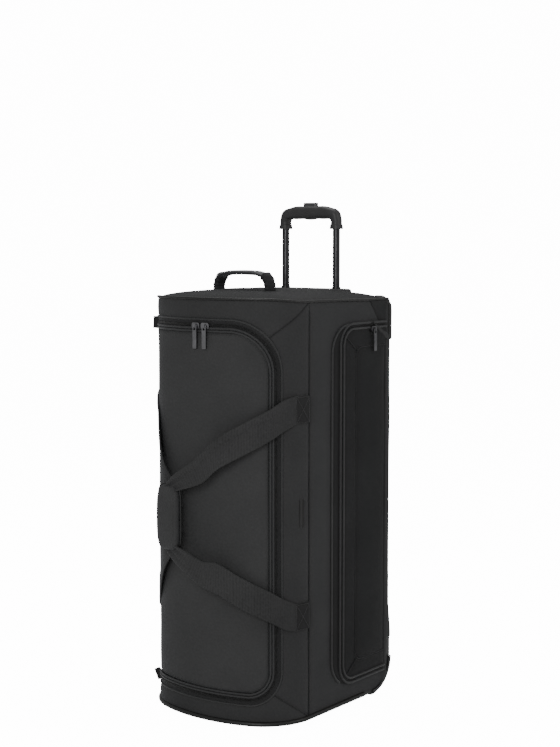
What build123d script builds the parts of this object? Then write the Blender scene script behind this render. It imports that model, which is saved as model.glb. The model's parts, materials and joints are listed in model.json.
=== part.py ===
from build123d import *
import math
import os

# Rolling duffel bag standing on its wheel end. Millimetres, +Z up, +X to the bag's right as seen
# from the front, -Y towards the domed zip lid, +Y towards the flat trolley side. The origin is on
# the floor, below the middle of the bag.

# ---- driving dimensions ----
HALF_WIDTH = 163.5  # centre to the face of a side panel
BODY_TOP = 780.0  # top face of the top end panel
BODY_BOTTOM = 12.0  # underside of the base board
SEAM_Y = -56.0  # where the flat side ends and the domed front starts
BACK_Y = 206.0  # face of the back panel
BULGE = 114.0  # how far the dome stands in front of the seam
SHOULDER_SETBACK = 10.0  # how far the dome's crown stands in front of its shoulders
SHOULDER_RADIUS = BULGE - SHOULDER_SETBACK  # vertical shoulders of the dome
DOME_FRONT = SEAM_Y - BULGE
PANEL = 5.0  # padded fabric panel
BASE_BOARD = 6.0
CLEAR = 0.4  # running clearance

LID_SIDE_MARGIN = 26.5
LID_TOP_MARGIN = 42.0
LID_HALF = HALF_WIDTH - LID_SIDE_MARGIN  # centre to the zip line, measured across the front
LID_TOP = BODY_TOP - LID_TOP_MARGIN
LID_BOTTOM = 62.0
LID_RADIUS_TOP = 72.0
LID_RADIUS_BOTTOM = 46.0
TAPE_WIDTH = 12.0  # one half of the zip
TAPE_THICK = 2.4
ZIP_GAP = 1.0  # between the two halves of the zip
MITRE_IN = 37.5
MITRE_DOWN = 67.0
MITRE_X = HALF_WIDTH - MITRE_IN  # inner end of the mitred seams of the frame strips
MITRE_TOP = BODY_TOP - MITRE_DOWN
MITRE_BOTTOM = 76.0

PIPING = 2.5
PIPING_HEIGHT = 7.0
BASE_PIPING = 3.2
BASE_PIPING_HEIGHT = 10.0

STRAP_THICK = 2.5
STRAP_STAND_OFF = 2.4  # gap between a strap and the dome at its anchor
STRAP_HALF = 25.0
STRAP_TOP_DROP = 191.0  # from the top face to the upper anchors
STRAP_TOP_Z = BODY_TOP - STRAP_TOP_DROP
STRAP_BOTTOM_Z = 210.0
STRAP_DEPARTURE = 8.0  # degrees round the shoulder where the strap leaves the dome
WRAP_INSET = 113.5  # from the left side panel's face to the middle of the wrap
WRAP_X = WRAP_INSET - HALF_WIDTH
WRAP_WIDTH = 50.0
WRAP_HEIGHT = 118.0
WRAP_Z = 387.0
WRAP_STAND_OFF = 14.0  # gap between the wrap and the dome
WRAP_BACK = DOME_FRONT - WRAP_STAND_OFF
WRAP_DEPTH = 30.0
RIGHT_STRAP_STAND_OFF = 29.0
LEFT_STRAP_STAND_OFF = 7.0
RIGHT_STRAP_FRONT = DOME_FRONT - RIGHT_STRAP_STAND_OFF  # plane in which the right loop runs inside the wrap
LEFT_STRAP_FRONT = DOME_FRONT - LEFT_STRAP_STAND_OFF  # plane in which the left loop runs behind the wrap
WEB_IN_WRAP = 15.0  # half width of the gathered webbing inside the wrap
PATCH_THICK = 1.6
PATCH_WIDTH = 31.0

TUBE_SPACING = 123.0
TUBE_Y = 174.0
INNER_TUBE = 7.2  # radii
MIDDLE_TUBE = 8.7
OUTER_TUBE = 10.2
TUBE_WALL = 1.2
OUTER_TUBE_BOTTOM = 122.0
MIDDLE_TUBE_BOTTOM = 400.0
INNER_TUBE_BOTTOM = 430.0
BEZEL_HEIGHT = 17.0
BEZEL_TOP = BODY_TOP + BEZEL_HEIGHT
BEZEL_HALF_LENGTH = 93.0
BEZEL_HALF_WIDTH = 21.0

GRIP_RISE = 179.0  # of the grip above the top face
GRIP_HEIGHT = 46.0
GRIP_TOP = BODY_TOP + GRIP_RISE
GRIP_HALF_LENGTH = 74.0
GRIP_DEPTH = 28.0
GRIP_BAR = 28.0
LEG_BOTTOM = GRIP_TOP - GRIP_HEIGHT
LEG_WIDTH = 20.0
BUTTON_HALF = 16.0
BUTTON_DEPTH = 11.0
BUTTON_RISE = 6.0
BUTTON_TRAVEL = 4.0
ROD_RADIUS = 2.0

HANDLE_HALF = 72.0
HANDLE_Y = -30.0
HANDLE_X = 0.0
HANDLE_RISE = 53.0
HANDLE_THICK = 9.0
HANDLE_WIDTH = 32.0

WHEEL_RADIUS = 36.0
WHEEL_Y = 176.0
WHEEL_INSET = 22.5
WHEEL_X = HALF_WIDTH - WHEEL_INSET
WHEEL_WIDTH = 24.0
TYRE_THICK = 6.0
AXLE_RADIUS = 4.0
HUB_RADIUS = 9.0
HOUSING_FRONT = 124.0
HOUSING_TOP = 112.0
HOUSING_BACK = 216.0
HOUSING_RADIUS = 62.0
HOUSING_BOTTOM = 11.0
HOUSING_WALL = 4.0
HOUSING_OUTER_X = HALF_WIDTH
RIM_WIDTH = 6.0  # raised rim round the housing's corner
RIM_OUT = 3.5
HOUSING_WIDTH = 44.5
HOUSING_INNER_X = HALF_WIDTH - HOUSING_WIDTH
FOOT_HALF = 30.0
FOOT_INSET = 58.5
FOOT_X = HALF_WIDTH - FOOT_INSET
FOOT_Y = -70.0
FOOT_WIDTH = 18.0

POCKET_FRONT = 42.0  # front line of the pocket's zip
POCKET_REAR = 190.0
POCKET_TOP_MARGIN = 50.0
POCKET_TOP = BODY_TOP - POCKET_TOP_MARGIN
POCKET_BOTTOM = 58.0
POCKET_BORDER = 34.0  # welted band in front of the pocket's zip
POCKET_DEPTH = 4.6  # hollow between the side panel and the pocket's panel
POCKET_SKIN = 3.0
POCKET_RADIUS = 34.0
POCKET_PANEL_INSET = 44.0
POCKET_PANEL_BULGE = 3.0

# ---- plan of the bag ----
SHOULDER_X = HALF_WIDTH - SHOULDER_RADIUS
FRONT_RADIUS = (SHOULDER_X**2 + BULGE**2 - SHOULDER_RADIUS**2) / (2 * (BULGE - SHOULDER_RADIUS))
FRONT_CENTRE_Y = SEAM_Y - BULGE + FRONT_RADIUS
TANGENT = math.degrees(math.atan2(FRONT_CENTRE_Y - SEAM_Y, SHOULDER_X))
SHELL_BOTTOM = BODY_BOTTOM + BASE_BOARD
SHELL_TOP = BODY_TOP - PANEL
FAR = 400.0  # larger than the bag's plan, for cutting regions


def shoulder_point(angle, grow):
    """A point on the right shoulder, angle in degrees from the side panel's face."""
    radius = SHOULDER_RADIUS + grow
    turn = math.radians(angle)
    return (SHOULDER_X + radius * math.cos(turn), SEAM_Y - radius * math.sin(turn))


def mirrored(point):
    return (-point[0], point[1])


def bag_plan(grow, back_y, mode=Mode.ADD):
    """Draws the bag's plan, grown outward by grow and closed at back_y, into the open sketch."""
    half = HALF_WIDTH + grow
    middle = shoulder_point(TANGENT / 2, grow)
    end = shoulder_point(TANGENT, grow)
    front = (0, SEAM_Y - BULGE - grow)
    with BuildLine() as outline:
        ThreePointArc((half, SEAM_Y), middle, end)
        ThreePointArc(end, front, mirrored(end))
        ThreePointArc(mirrored(end), mirrored(middle), (-half, SEAM_Y))
        if back_y > SEAM_Y:
            Polyline((-half, SEAM_Y), (-half, back_y), (half, back_y), (half, SEAM_Y))
        else:
            Line((-half, SEAM_Y), (half, SEAM_Y))
    make_face(outline.edges(), mode=mode)


def dome_shell(outer, inner):
    """Draws the dome's wall, between two growths, into the open sketch."""
    bag_plan(outer, SEAM_Y)
    bag_plan(inner, SEAM_Y, mode=Mode.SUBTRACT)


def lid_front(inset, left):
    """Draws the lid's front view, moved in from the zip line by inset, into the open sketch."""
    right = LID_HALF - inset
    with BuildLine() as outline:
        Polyline((left, LID_BOTTOM + inset), (left, LID_TOP - inset), (right, LID_TOP - inset))
        Polyline((right, LID_TOP - inset), (right, LID_BOTTOM + inset), (left, LID_BOTTOM + inset))
    make_face(outline.edges())
    corners = vertices().group_by(Axis.X)[-1].sort_by(Axis.Y)
    fillet(corners[-1], radius=LID_RADIUS_TOP - inset)
    lower = vertices().group_by(Axis.X)[-1].sort_by(Axis.Y)
    fillet(lower[0], radius=LID_RADIUS_BOTTOM - inset)


def write(piece, label):
    piece.part.label = label
    export_step(piece.part, f"parts/{label}.step")


os.makedirs("parts", exist_ok=True)

# ---- fabric shell: one panel per side ----
HOUSING_CLEAR_Y = HOUSING_FRONT - CLEAR
HOUSING_CLEAR_Z = HOUSING_TOP + CLEAR
HOUSING_CLEAR_X = HOUSING_INNER_X - CLEAR

with BuildPart() as top_end_panel:
    with BuildSketch(Plane.XY.offset(SHELL_TOP)):
        bag_plan(0, BACK_Y)
        with Locations((-TUBE_SPACING / 2, TUBE_Y), (TUBE_SPACING / 2, TUBE_Y)):
            Circle(OUTER_TUBE + CLEAR, mode=Mode.SUBTRACT)
    extrude(amount=PANEL)
write(top_end_panel, "top_end_panel")

with BuildPart() as base_board:
    with BuildSketch(Plane.XY.offset(BODY_BOTTOM)):
        bag_plan(0, BACK_Y)
        for side in (-1, 1):
            with Locations((side * (HOUSING_CLEAR_X + FAR / 2), HOUSING_CLEAR_Y + FAR / 2)):
                Rectangle(FAR, FAR, mode=Mode.SUBTRACT)
    extrude(amount=BASE_BOARD)
write(base_board, "base_board")

with BuildPart() as back_panel:
    with BuildSketch(Plane.XZ.offset(-BACK_Y)):
        with BuildLine():
            Polyline(
                (-HALF_WIDTH, SHELL_TOP), (HALF_WIDTH, SHELL_TOP), (HALF_WIDTH, HOUSING_CLEAR_Z),
                (HOUSING_CLEAR_X, HOUSING_CLEAR_Z), (HOUSING_CLEAR_X, SHELL_BOTTOM),
                (-HOUSING_CLEAR_X, SHELL_BOTTOM), (-HOUSING_CLEAR_X, HOUSING_CLEAR_Z),
                (-HALF_WIDTH, HOUSING_CLEAR_Z), close=True,
            )
        make_face()
    extrude(amount=PANEL)
write(back_panel, "back_panel")

for side, label in ((-1, "side_panel_left"), (1, "side_panel_right")):
    with BuildPart() as side_panel:
        with BuildSketch(Plane.YZ.offset(side * (HALF_WIDTH - PANEL / 2))):
            with BuildLine():
                Polyline(
                    (SEAM_Y, SHELL_TOP), (BACK_Y - PANEL, SHELL_TOP),
                    (BACK_Y - PANEL, HOUSING_CLEAR_Z), (HOUSING_CLEAR_Y, HOUSING_CLEAR_Z),
                    (HOUSING_CLEAR_Y, SHELL_BOTTOM), (SEAM_Y, SHELL_BOTTOM), close=True,
                )
            make_face()
        extrude(amount=PANEL / 2, both=True)
    write(side_panel, label)

# ---- frame strips round the lid, mitred at the corners ----
EDGE = HALF_WIDTH + 10
strip_regions = {
    "front_strip_top": [
        (-EDGE, SHELL_TOP + EDGE - HALF_WIDTH), (EDGE, SHELL_TOP + EDGE - HALF_WIDTH),
        (MITRE_X, MITRE_TOP), (-MITRE_X, MITRE_TOP),
    ],
    "front_strip_bottom": [
        (-EDGE, SHELL_BOTTOM - 10), (EDGE, SHELL_BOTTOM - 10),
        (MITRE_X, MITRE_BOTTOM), (-MITRE_X, MITRE_BOTTOM),
    ],
    "front_strip_right": [
        (EDGE, SHELL_TOP + EDGE - HALF_WIDTH), (MITRE_X, MITRE_TOP),
        (MITRE_X, MITRE_BOTTOM), (EDGE, SHELL_BOTTOM - 10),
    ],
    "front_strip_left": [
        (-EDGE, SHELL_TOP + EDGE - HALF_WIDTH), (-MITRE_X, MITRE_TOP),
        (-MITRE_X, MITRE_BOTTOM), (-EDGE, SHELL_BOTTOM - 10),
    ],
}
for label, corners in strip_regions.items():
    with BuildPart() as strip:
        with BuildSketch(Plane.XY.offset(SHELL_BOTTOM)):
            dome_shell(0, -PANEL)
        extrude(amount=SHELL_TOP - SHELL_BOTTOM)
        with BuildSketch(Plane.XZ):
            with BuildLine():
                Polyline(*corners, close=True)
            make_face()
        extrude(amount=FAR, mode=Mode.INTERSECT)
        with BuildSketch(Plane.XZ):
            lid_front(-TAPE_WIDTH - ZIP_GAP / 2, -LID_HALF - ZIP_GAP)
        extrude(amount=FAR, mode=Mode.SUBTRACT)
    write(strip, label)

# ---- main zip: the half on the frame, the half on the lid, and the lid ----
with BuildPart() as frame_zip_tape:
    with BuildSketch(Plane.XY.offset(SHELL_BOTTOM)):
        dome_shell(-0.8, -0.8 - TAPE_THICK)
    extrude(amount=SHELL_TOP - SHELL_BOTTOM)
    with BuildSketch(Plane.XZ):
        lid_front(-TAPE_WIDTH - ZIP_GAP / 2, -LID_HALF - ZIP_GAP)
    extrude(amount=FAR, mode=Mode.INTERSECT)
    with BuildSketch(Plane.XZ):
        lid_front(-ZIP_GAP / 2, -LID_HALF - ZIP_GAP)
    extrude(amount=FAR, mode=Mode.SUBTRACT)
write(frame_zip_tape, "frame_zip_tape")

with BuildPart() as lid_zip_tape:
    with BuildSketch(Plane.XY.offset(SHELL_BOTTOM)):
        dome_shell(-0.8, -0.8 - TAPE_THICK)
    extrude(amount=SHELL_TOP - SHELL_BOTTOM)
    with BuildSketch(Plane.XZ):
        lid_front(ZIP_GAP / 2, -LID_HALF + ZIP_GAP)
    extrude(amount=FAR, mode=Mode.INTERSECT)
    with BuildSketch(Plane.XZ):
        lid_front(TAPE_WIDTH, -LID_HALF)
    extrude(amount=FAR, mode=Mode.SUBTRACT)
write(lid_zip_tape, "lid_zip_tape")

with BuildPart() as front_lid:
    with BuildSketch(Plane.XY.offset(SHELL_BOTTOM)):
        dome_shell(0, -PANEL)
    extrude(amount=SHELL_TOP - SHELL_BOTTOM)
    with BuildSketch(Plane.XZ):
        lid_front(TAPE_WIDTH, -LID_HALF + ZIP_GAP)
    extrude(amount=FAR, mode=Mode.INTERSECT)
write(front_lid, "front_lid")

# ---- fabric tabs that close the two ends of the zip, on the left shoulder ----
TAB_ANGLE = 37.0
TAB_HEIGHT = 25.0
TAB_OUT = 9.0
with BuildPart() as zip_end_tabs:
    for tab_z in (LID_TOP, LID_BOTTOM):
        with BuildSketch(Plane.XY.offset(tab_z - TAB_HEIGHT / 2)):
            with BuildLine():
                Polyline(
                    mirrored(shoulder_point(TAB_ANGLE - 2, CLEAR)),
                    mirrored(shoulder_point(TAB_ANGLE - 2, TAB_OUT)),
                    mirrored(shoulder_point(TAB_ANGLE + 1, TAB_OUT)),
                    mirrored(shoulder_point(TAB_ANGLE + 1, CLEAR)), close=True,
                )
            make_face()
        extrude(amount=TAB_HEIGHT)
write(zip_end_tabs, "zip_end_tabs")

# ---- seam pipings ----
with BuildPart() as top_piping:
    with BuildSketch(Plane.XY.offset(BODY_TOP - PIPING_HEIGHT)):
        bag_plan(PIPING, BACK_Y + PIPING)
        bag_plan(0, BACK_Y, mode=Mode.SUBTRACT)
        with Locations((0, BACK_Y + PIPING)):
            Rectangle(2 * HALF_WIDTH - 60, 4 * PIPING, mode=Mode.SUBTRACT)
    extrude(amount=PIPING_HEIGHT)
write(top_piping, "top_piping")

with BuildPart() as base_piping:
    with BuildSketch(Plane.XY.offset(BODY_BOTTOM - 1)):
        bag_plan(BASE_PIPING, HOUSING_CLEAR_Y)
        bag_plan(0, HOUSING_CLEAR_Y, mode=Mode.SUBTRACT)
    extrude(amount=BASE_PIPING_HEIGHT)
write(base_piping, "base_piping")

SEAM_PIPING_OUT = 1.5
SEAM_PIPING_TOP = BODY_TOP - PIPING_HEIGHT
SEAM_PIPING_BOTTOM = BODY_BOTTOM - 1 + BASE_PIPING_HEIGHT
SEAM_PIPING_X = HALF_WIDTH + SEAM_PIPING_OUT / 2
SEAM_PIPING_Y = SEAM_Y + 3.2
with BuildPart() as seam_piping:
    with BuildSketch(Plane.XY.offset(SEAM_PIPING_BOTTOM)):
        with Locations((-SEAM_PIPING_X, SEAM_PIPING_Y), (SEAM_PIPING_X, SEAM_PIPING_Y)):
            Rectangle(SEAM_PIPING_OUT, 3)
    extrude(amount=SEAM_PIPING_TOP - SEAM_PIPING_BOTTOM)
write(seam_piping, "seam_piping")

# ---- carry straps: two webbing loops joined by a padded wrap ----
PATCH_END = math.degrees(PATCH_WIDTH / SHOULDER_RADIUS)
with BuildPart() as anchor_patches:
    for side in (-1, 1):
        for anchor_z in (STRAP_TOP_Z, STRAP_BOTTOM_Z):
            with BuildSketch(Plane.XY.offset(anchor_z - STRAP_HALF)):
                with BuildLine():
                    arcs = []
                    for grow in (0, PATCH_THICK):
                        start = shoulder_point(0, grow)
                        middle = shoulder_point(PATCH_END / 2, grow)
                        end = shoulder_point(PATCH_END, grow)
                        arcs.append([(side * x, y) for x, y in (start, middle, end)])
                    ThreePointArc(*arcs[0])
                    ThreePointArc(*arcs[1])
                    Line(arcs[0][0], arcs[1][0])
                    Line(arcs[0][2], arcs[1][2])
                make_face()
            extrude(amount=2 * STRAP_HALF)
write(anchor_patches, "anchor_patches")


def strap_plan(side, front_y, end_x):
    """Draws one strap's run in plan, from its anchor at the seam to end_x in the plane front_y."""
    leave = math.radians(STRAP_DEPARTURE)
    leave_x = SHOULDER_X + SHOULDER_RADIUS * math.cos(leave)
    leave_y = SEAM_Y - SHOULDER_RADIUS * math.sin(leave)
    radius = (leave_y - front_y) / (1 - math.sin(leave))
    centre = (leave_x - radius * math.cos(leave), leave_y + radius * math.sin(leave))
    half_turn = (leave + math.pi / 2) / 2
    with BuildLine() as outline:
        ends = []
        for grow in (STRAP_STAND_OFF, STRAP_STAND_OFF + STRAP_THICK):
            first = shoulder_point(0, grow)
            second = shoulder_point(STRAP_DEPARTURE / 2, grow)
            third = shoulder_point(STRAP_DEPARTURE, grow)
            reach = radius + grow
            fourth = (centre[0] + reach * math.cos(half_turn), centre[1] - reach * math.sin(half_turn))
            fifth = (centre[0], centre[1] - reach)
            run = [(side * x, y) for x, y in (first, second, third, fourth, fifth)]
            run.append((end_x, fifth[1]))
            ThreePointArc(run[0], run[1], run[2])
            ThreePointArc(run[2], run[3], run[4])
            Line(run[4], run[5])
            ends.append(run)
        Line(ends[0][0], ends[1][0])
        Line(ends[0][5], ends[1][5])
    make_face(outline.edges())


WRAP_TOP = WRAP_Z + WRAP_HEIGHT / 2
WRAP_BOTTOM = WRAP_Z - WRAP_HEIGHT / 2
STRAP_EDGE = HALF_WIDTH + 12
RIGHT_STRAP_END = WRAP_X - 60  # past the wrap, for the band to be cut from
LEFT_STRAP_END = WRAP_X + 20


def right_band(anchor_z, wrap_z, up):
    """One diagonal run of the right loop, front view: up is 1 for the upper run, -1 for the lower."""
    return [
        (STRAP_EDGE, anchor_z + up * STRAP_HALF), (HALF_WIDTH - 3.5, anchor_z + up * STRAP_HALF),
        (HALF_WIDTH - 27.5, anchor_z - up * 2), (HALF_WIDTH - 101.5, anchor_z - up * 48), (-31, wrap_z + up * 28),
        (WRAP_X - WEB_IN_WRAP, wrap_z - up * 6), (WRAP_X + WEB_IN_WRAP, wrap_z - up * 6),
        (WRAP_X + WRAP_WIDTH / 2 - 4, wrap_z + up * 2), (9, wrap_z + up * 9),
        (HALF_WIDTH - 101.5, anchor_z - up * 105), (HALF_WIDTH - 27.5, anchor_z - up * 56),
        (HALF_WIDTH - 6.5, anchor_z - up * STRAP_HALF),
        (STRAP_EDGE, anchor_z - up * STRAP_HALF),
    ]


def left_band(anchor_z, wrap_z, up):
    """One run of the left loop, front view, in the same way."""
    return [
        (-STRAP_EDGE, anchor_z + up * STRAP_HALF), (5.5 - HALF_WIDTH, anchor_z + up * STRAP_HALF),
        (35.5 - HALF_WIDTH, anchor_z + up * 2), (WRAP_X + WEB_IN_WRAP, wrap_z + up * 10),
        (WRAP_X + WEB_IN_WRAP, wrap_z - up * 6), (WRAP_X - WEB_IN_WRAP, wrap_z - up * 6),
        (WRAP_X - WRAP_WIDTH / 2 - 6, wrap_z + up * 6), (31.5 - HALF_WIDTH, anchor_z - up * 52),
        (6.5 - HALF_WIDTH, anchor_z - up * STRAP_HALF), (-STRAP_EDGE, anchor_z - up * STRAP_HALF),
    ]


loops = (
    ("carry_strap_right", 1, RIGHT_STRAP_FRONT, RIGHT_STRAP_END, right_band),
    ("carry_strap_left", -1, LEFT_STRAP_FRONT, LEFT_STRAP_END, left_band),
)
for label, side, front_y, end_x, band in loops:
    with BuildPart() as carry_strap:
        with BuildSketch(Plane.XY.offset(SHELL_BOTTOM)):
            strap_plan(side, front_y, end_x)
        extrude(amount=SHELL_TOP - SHELL_BOTTOM)
        with BuildSketch(Plane.XZ):
            for anchor_z, wrap_z, up in ((STRAP_TOP_Z, WRAP_TOP, 1), (STRAP_BOTTOM_Z, WRAP_BOTTOM, -1)):
                with BuildLine():
                    Polyline(*band(anchor_z, wrap_z, up), close=True)
                make_face()
            with Locations((WRAP_X, WRAP_Z)):
                Rectangle(2 * WEB_IN_WRAP, WRAP_HEIGHT)
        extrude(amount=FAR, mode=Mode.INTERSECT)
    write(carry_strap, label)

with BuildPart() as handle_wrap:
    with BuildSketch(Plane.XY.offset(WRAP_BOTTOM)):
        with Locations((WRAP_X, WRAP_BACK - WRAP_DEPTH / 2)):
            RectangleRounded(WRAP_WIDTH, WRAP_DEPTH, 9)
        web_y = RIGHT_STRAP_FRONT - STRAP_STAND_OFF - STRAP_THICK / 2
        with Locations((WRAP_X, web_y)):
            Rectangle(2 * WEB_IN_WRAP + 2 * CLEAR, STRAP_THICK + 0.2, mode=Mode.SUBTRACT)
    extrude(amount=WRAP_HEIGHT)
    with BuildSketch(Plane.XZ):
        with Locations((WRAP_X, WRAP_TOP), (WRAP_X, WRAP_BOTTOM)):
            Rectangle(2 * WEB_IN_WRAP + 22, 14)
    extrude(amount=FAR, mode=Mode.SUBTRACT)
write(handle_wrap, "handle_wrap")

# ---- blank badge on the right shoulder, in front of the seam ----
BADGE_ANGLES = (8.6, 14.6)  # degrees round the shoulder
BADGE_Z = 400.0
BADGE_HEIGHT = 54.0
BADGE_THICK = 2.0
with BuildPart() as badge_plate:
    with BuildSketch(Plane.XY.offset(BADGE_Z - BADGE_HEIGHT / 2)):
        with BuildLine() as outline:
            edges_at = []
            for grow in (0, BADGE_THICK):
                first = shoulder_point(BADGE_ANGLES[0], grow)
                middle = shoulder_point(sum(BADGE_ANGLES) / 2, grow)
                last = shoulder_point(BADGE_ANGLES[1], grow)
                edges_at.append((first, middle, last))
            ThreePointArc(*edges_at[0])
            ThreePointArc(*edges_at[1])
            Line(edges_at[0][0], edges_at[1][0])
            Line(edges_at[0][2], edges_at[1][2])
        make_face(outline.edges())
    extrude(amount=BADGE_HEIGHT)
write(badge_plate, "badge_plate")

# ---- side pocket on the right side ----
POCKET_FACE = HALF_WIDTH + POCKET_DEPTH
POCKET_BACK_EDGE = POCKET_REAR + 4


def pocket_outline(front, rear, bottom, top, radius):
    """Draws a side view with rounded front corners and a cut rear top corner."""
    cut = 26.0
    with BuildLine() as outline:
        Polyline((front, bottom), (rear, bottom), (rear, top - cut), (rear - cut, top), (front, top))
        Line((front, top), (front, bottom))
    make_face(outline.edges())
    fillet(vertices().group_by(Axis.X)[0], radius=radius)


with BuildPart() as pocket_border:
    with BuildSketch(Plane.YZ.offset(HALF_WIDTH)):
        border_front = POCKET_FRONT - POCKET_BORDER
        border_radius = POCKET_RADIUS + 18
        pocket_outline(border_front, POCKET_BACK_EDGE, POCKET_BOTTOM - 8, POCKET_TOP + 8, border_radius)
    extrude(amount=POCKET_DEPTH + 1.4)
    with BuildSketch(Plane.YZ.offset(HALF_WIDTH)):
        pocket_outline(
            POCKET_FRONT - CLEAR, FAR, POCKET_BOTTOM - CLEAR, POCKET_TOP + CLEAR, POCKET_RADIUS + CLEAR
        )
    extrude(amount=FAR, mode=Mode.SUBTRACT)
write(pocket_border, "pocket_border")

with BuildPart() as pocket_flap:
    with BuildSketch(Plane.YZ.offset(POCKET_FACE)):
        pocket_outline(POCKET_FRONT, POCKET_REAR, POCKET_BOTTOM, POCKET_TOP, POCKET_RADIUS)
    extrude(amount=POCKET_SKIN)
    with BuildSketch(Plane.YZ.offset(POCKET_FACE + POCKET_SKIN)):
        pocket_outline(
            POCKET_FRONT + POCKET_PANEL_INSET, POCKET_REAR - 4, POCKET_BOTTOM + 34, POCKET_TOP - 36, 20
        )
    extrude(amount=POCKET_PANEL_BULGE)
write(pocket_flap, "pocket_flap")

# ---- fabric patches and moulded guards on the top rear corners ----
CORNER_PATCH_LENGTH = 58.0  # along the top piping
GUARD_DROP = 80.0
GUARD_BOTTOM = BODY_TOP - GUARD_DROP
GUARD_OUT = 8.5
GUARD_RETURN = 26.0  # how far the guard runs across the back
with BuildPart() as corner_patches:
    for side in (-1, 1):
        with BuildSketch(Plane.YZ.offset(side * HALF_WIDTH)):
            with BuildLine():
                Polyline(
                    (BACK_Y - CORNER_PATCH_LENGTH, BODY_TOP - PIPING_HEIGHT), (BACK_Y - 12, POCKET_TOP - 22),
                    (BACK_Y, POCKET_TOP - 30), (BACK_Y, BODY_TOP - PIPING_HEIGHT), close=True,
                )
            make_face()
        extrude(amount=side * PATCH_THICK)
write(corner_patches, "corner_patches")

for side, side_name in ((-1, "left"), (1, "right")):
    with BuildPart() as corner_guard:
        guard_side = HALF_WIDTH + PATCH_THICK
        guard_end = HALF_WIDTH - GUARD_RETURN
        with BuildSketch(Plane.XY.offset(GUARD_BOTTOM)):
            with BuildLine():
                Polyline(
                    (side * guard_side, BACK_Y - 8), (side * (HALF_WIDTH + 4.5), BACK_Y - 8),
                    (side * (HALF_WIDTH + 4.5), BACK_Y + 3), (side * (HALF_WIDTH - 1), BACK_Y + GUARD_OUT),
                    (side * guard_end, BACK_Y + GUARD_OUT), (side * guard_end, BACK_Y),
                    (side * guard_side, BACK_Y), close=True,
                )
            make_face()
        extrude(amount=BODY_TOP - PIPING_HEIGHT - GUARD_BOTTOM)
    write(corner_guard, f"corner_guard_{side_name}")

# ---- wheels, axles, housings and feet ----
TYRE_INNER = WHEEL_RADIUS - TYRE_THICK
WHEEL_Z = WHEEL_RADIUS
WELL_RADIUS = WHEEL_RADIUS + 2.5
WELL_WIDTH = WHEEL_WIDTH + 4
for side, side_name in ((-1, "left"), (1, "right")):
    middle_plane = Plane.YZ.offset(side * WHEEL_X)
    with BuildPart() as tyre:
        with BuildSketch(middle_plane):
            with Locations((WHEEL_Y, WHEEL_Z)):
                Circle(WHEEL_RADIUS)
                Circle(TYRE_INNER, mode=Mode.SUBTRACT)
        extrude(amount=WHEEL_WIDTH / 2, both=True)
        chamfer(tyre.edges().filter_by(GeomType.CIRCLE).group_by(SortBy.RADIUS)[-1], 2.2)
    write(tyre, f"wheel_tyre_{side_name}")

    with BuildPart() as wheel_core:
        with BuildSketch(middle_plane):
            with Locations((WHEEL_Y, WHEEL_Z)):
                Circle(TYRE_INNER)
                Circle(AXLE_RADIUS + CLEAR / 2, mode=Mode.SUBTRACT)
        extrude(amount=WHEEL_WIDTH / 2 - 2, both=True)
        for face_side in (-1, 1):
            with BuildSketch(middle_plane.offset(face_side * (WHEEL_WIDTH / 2 - 2))):
                with Locations((WHEEL_Y, WHEEL_Z)):
                    with PolarLocations((HUB_RADIUS + TYRE_INNER - 3) / 2, 5):
                        Circle(6)
            extrude(amount=-face_side * 5, mode=Mode.SUBTRACT)
    write(wheel_core, f"wheel_core_{side_name}")

    with BuildPart() as housing:
        with BuildSketch(Plane.YZ.offset(side * HOUSING_INNER_X)):
            with BuildLine():
                bend_y = HOUSING_BACK - HOUSING_RADIUS
                bend_z = HOUSING_BOTTOM + HOUSING_RADIUS
                reach = HOUSING_RADIUS * math.sqrt(0.5)
                Polyline((HOUSING_BACK, bend_z), (HOUSING_BACK, HOUSING_TOP), (HOUSING_FRONT, HOUSING_TOP))
                Polyline((HOUSING_FRONT, HOUSING_TOP), (HOUSING_FRONT, HOUSING_BOTTOM), (bend_y, HOUSING_BOTTOM))
                ThreePointArc((bend_y, HOUSING_BOTTOM), (bend_y + reach, bend_z - reach), (HOUSING_BACK, bend_z))
            make_face()
        extrude(amount=side * (HOUSING_OUTER_X - HOUSING_INNER_X))
        with BuildSketch(Plane.YZ.offset(side * (WHEEL_X - WELL_WIDTH / 2))):
            with Locations((WHEEL_Y, WHEEL_Z)):
                Circle(WELL_RADIUS)
            with Locations((WHEEL_Y, WHEEL_Z - FAR / 2)):
                Rectangle(2 * WELL_RADIUS, FAR)
            with Locations((WHEEL_Y + FAR / 2, WHEEL_Z)):
                Rectangle(FAR, 2 * 14)
        extrude(amount=side * WELL_WIDTH, mode=Mode.SUBTRACT)
        with BuildSketch(Plane.YZ.offset(side * (HOUSING_INNER_X + 1))):
            with Locations((WHEEL_Y, WHEEL_Z)):
                Circle(AXLE_RADIUS)
        extrude(amount=side * (HOUSING_OUTER_X - HOUSING_INNER_X - 2), mode=Mode.SUBTRACT)
        with BuildSketch(Plane.YZ.offset(side * HOUSING_OUTER_X)):
            with Locations((bend_y, bend_z)):
                Circle(HOUSING_RADIUS)
                Circle(HOUSING_RADIUS - RIM_WIDTH, mode=Mode.SUBTRACT)
            with Locations((bend_y - FAR / 2, bend_z), (bend_y, bend_z + FAR / 2)):
                Rectangle(FAR, FAR, mode=Mode.SUBTRACT)
        extrude(amount=side * RIM_OUT)
    write(housing, f"wheel_housing_{side_name}")

with BuildPart() as axles:
    for side in (-1, 1):
        with BuildSketch(Plane.YZ.offset(side * (HOUSING_INNER_X + 1))):
            with Locations((WHEEL_Y, WHEEL_Z)):
                Circle(AXLE_RADIUS)
        extrude(amount=side * (HOUSING_OUTER_X - HOUSING_INNER_X - 2))
write(axles, "axles")

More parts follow.
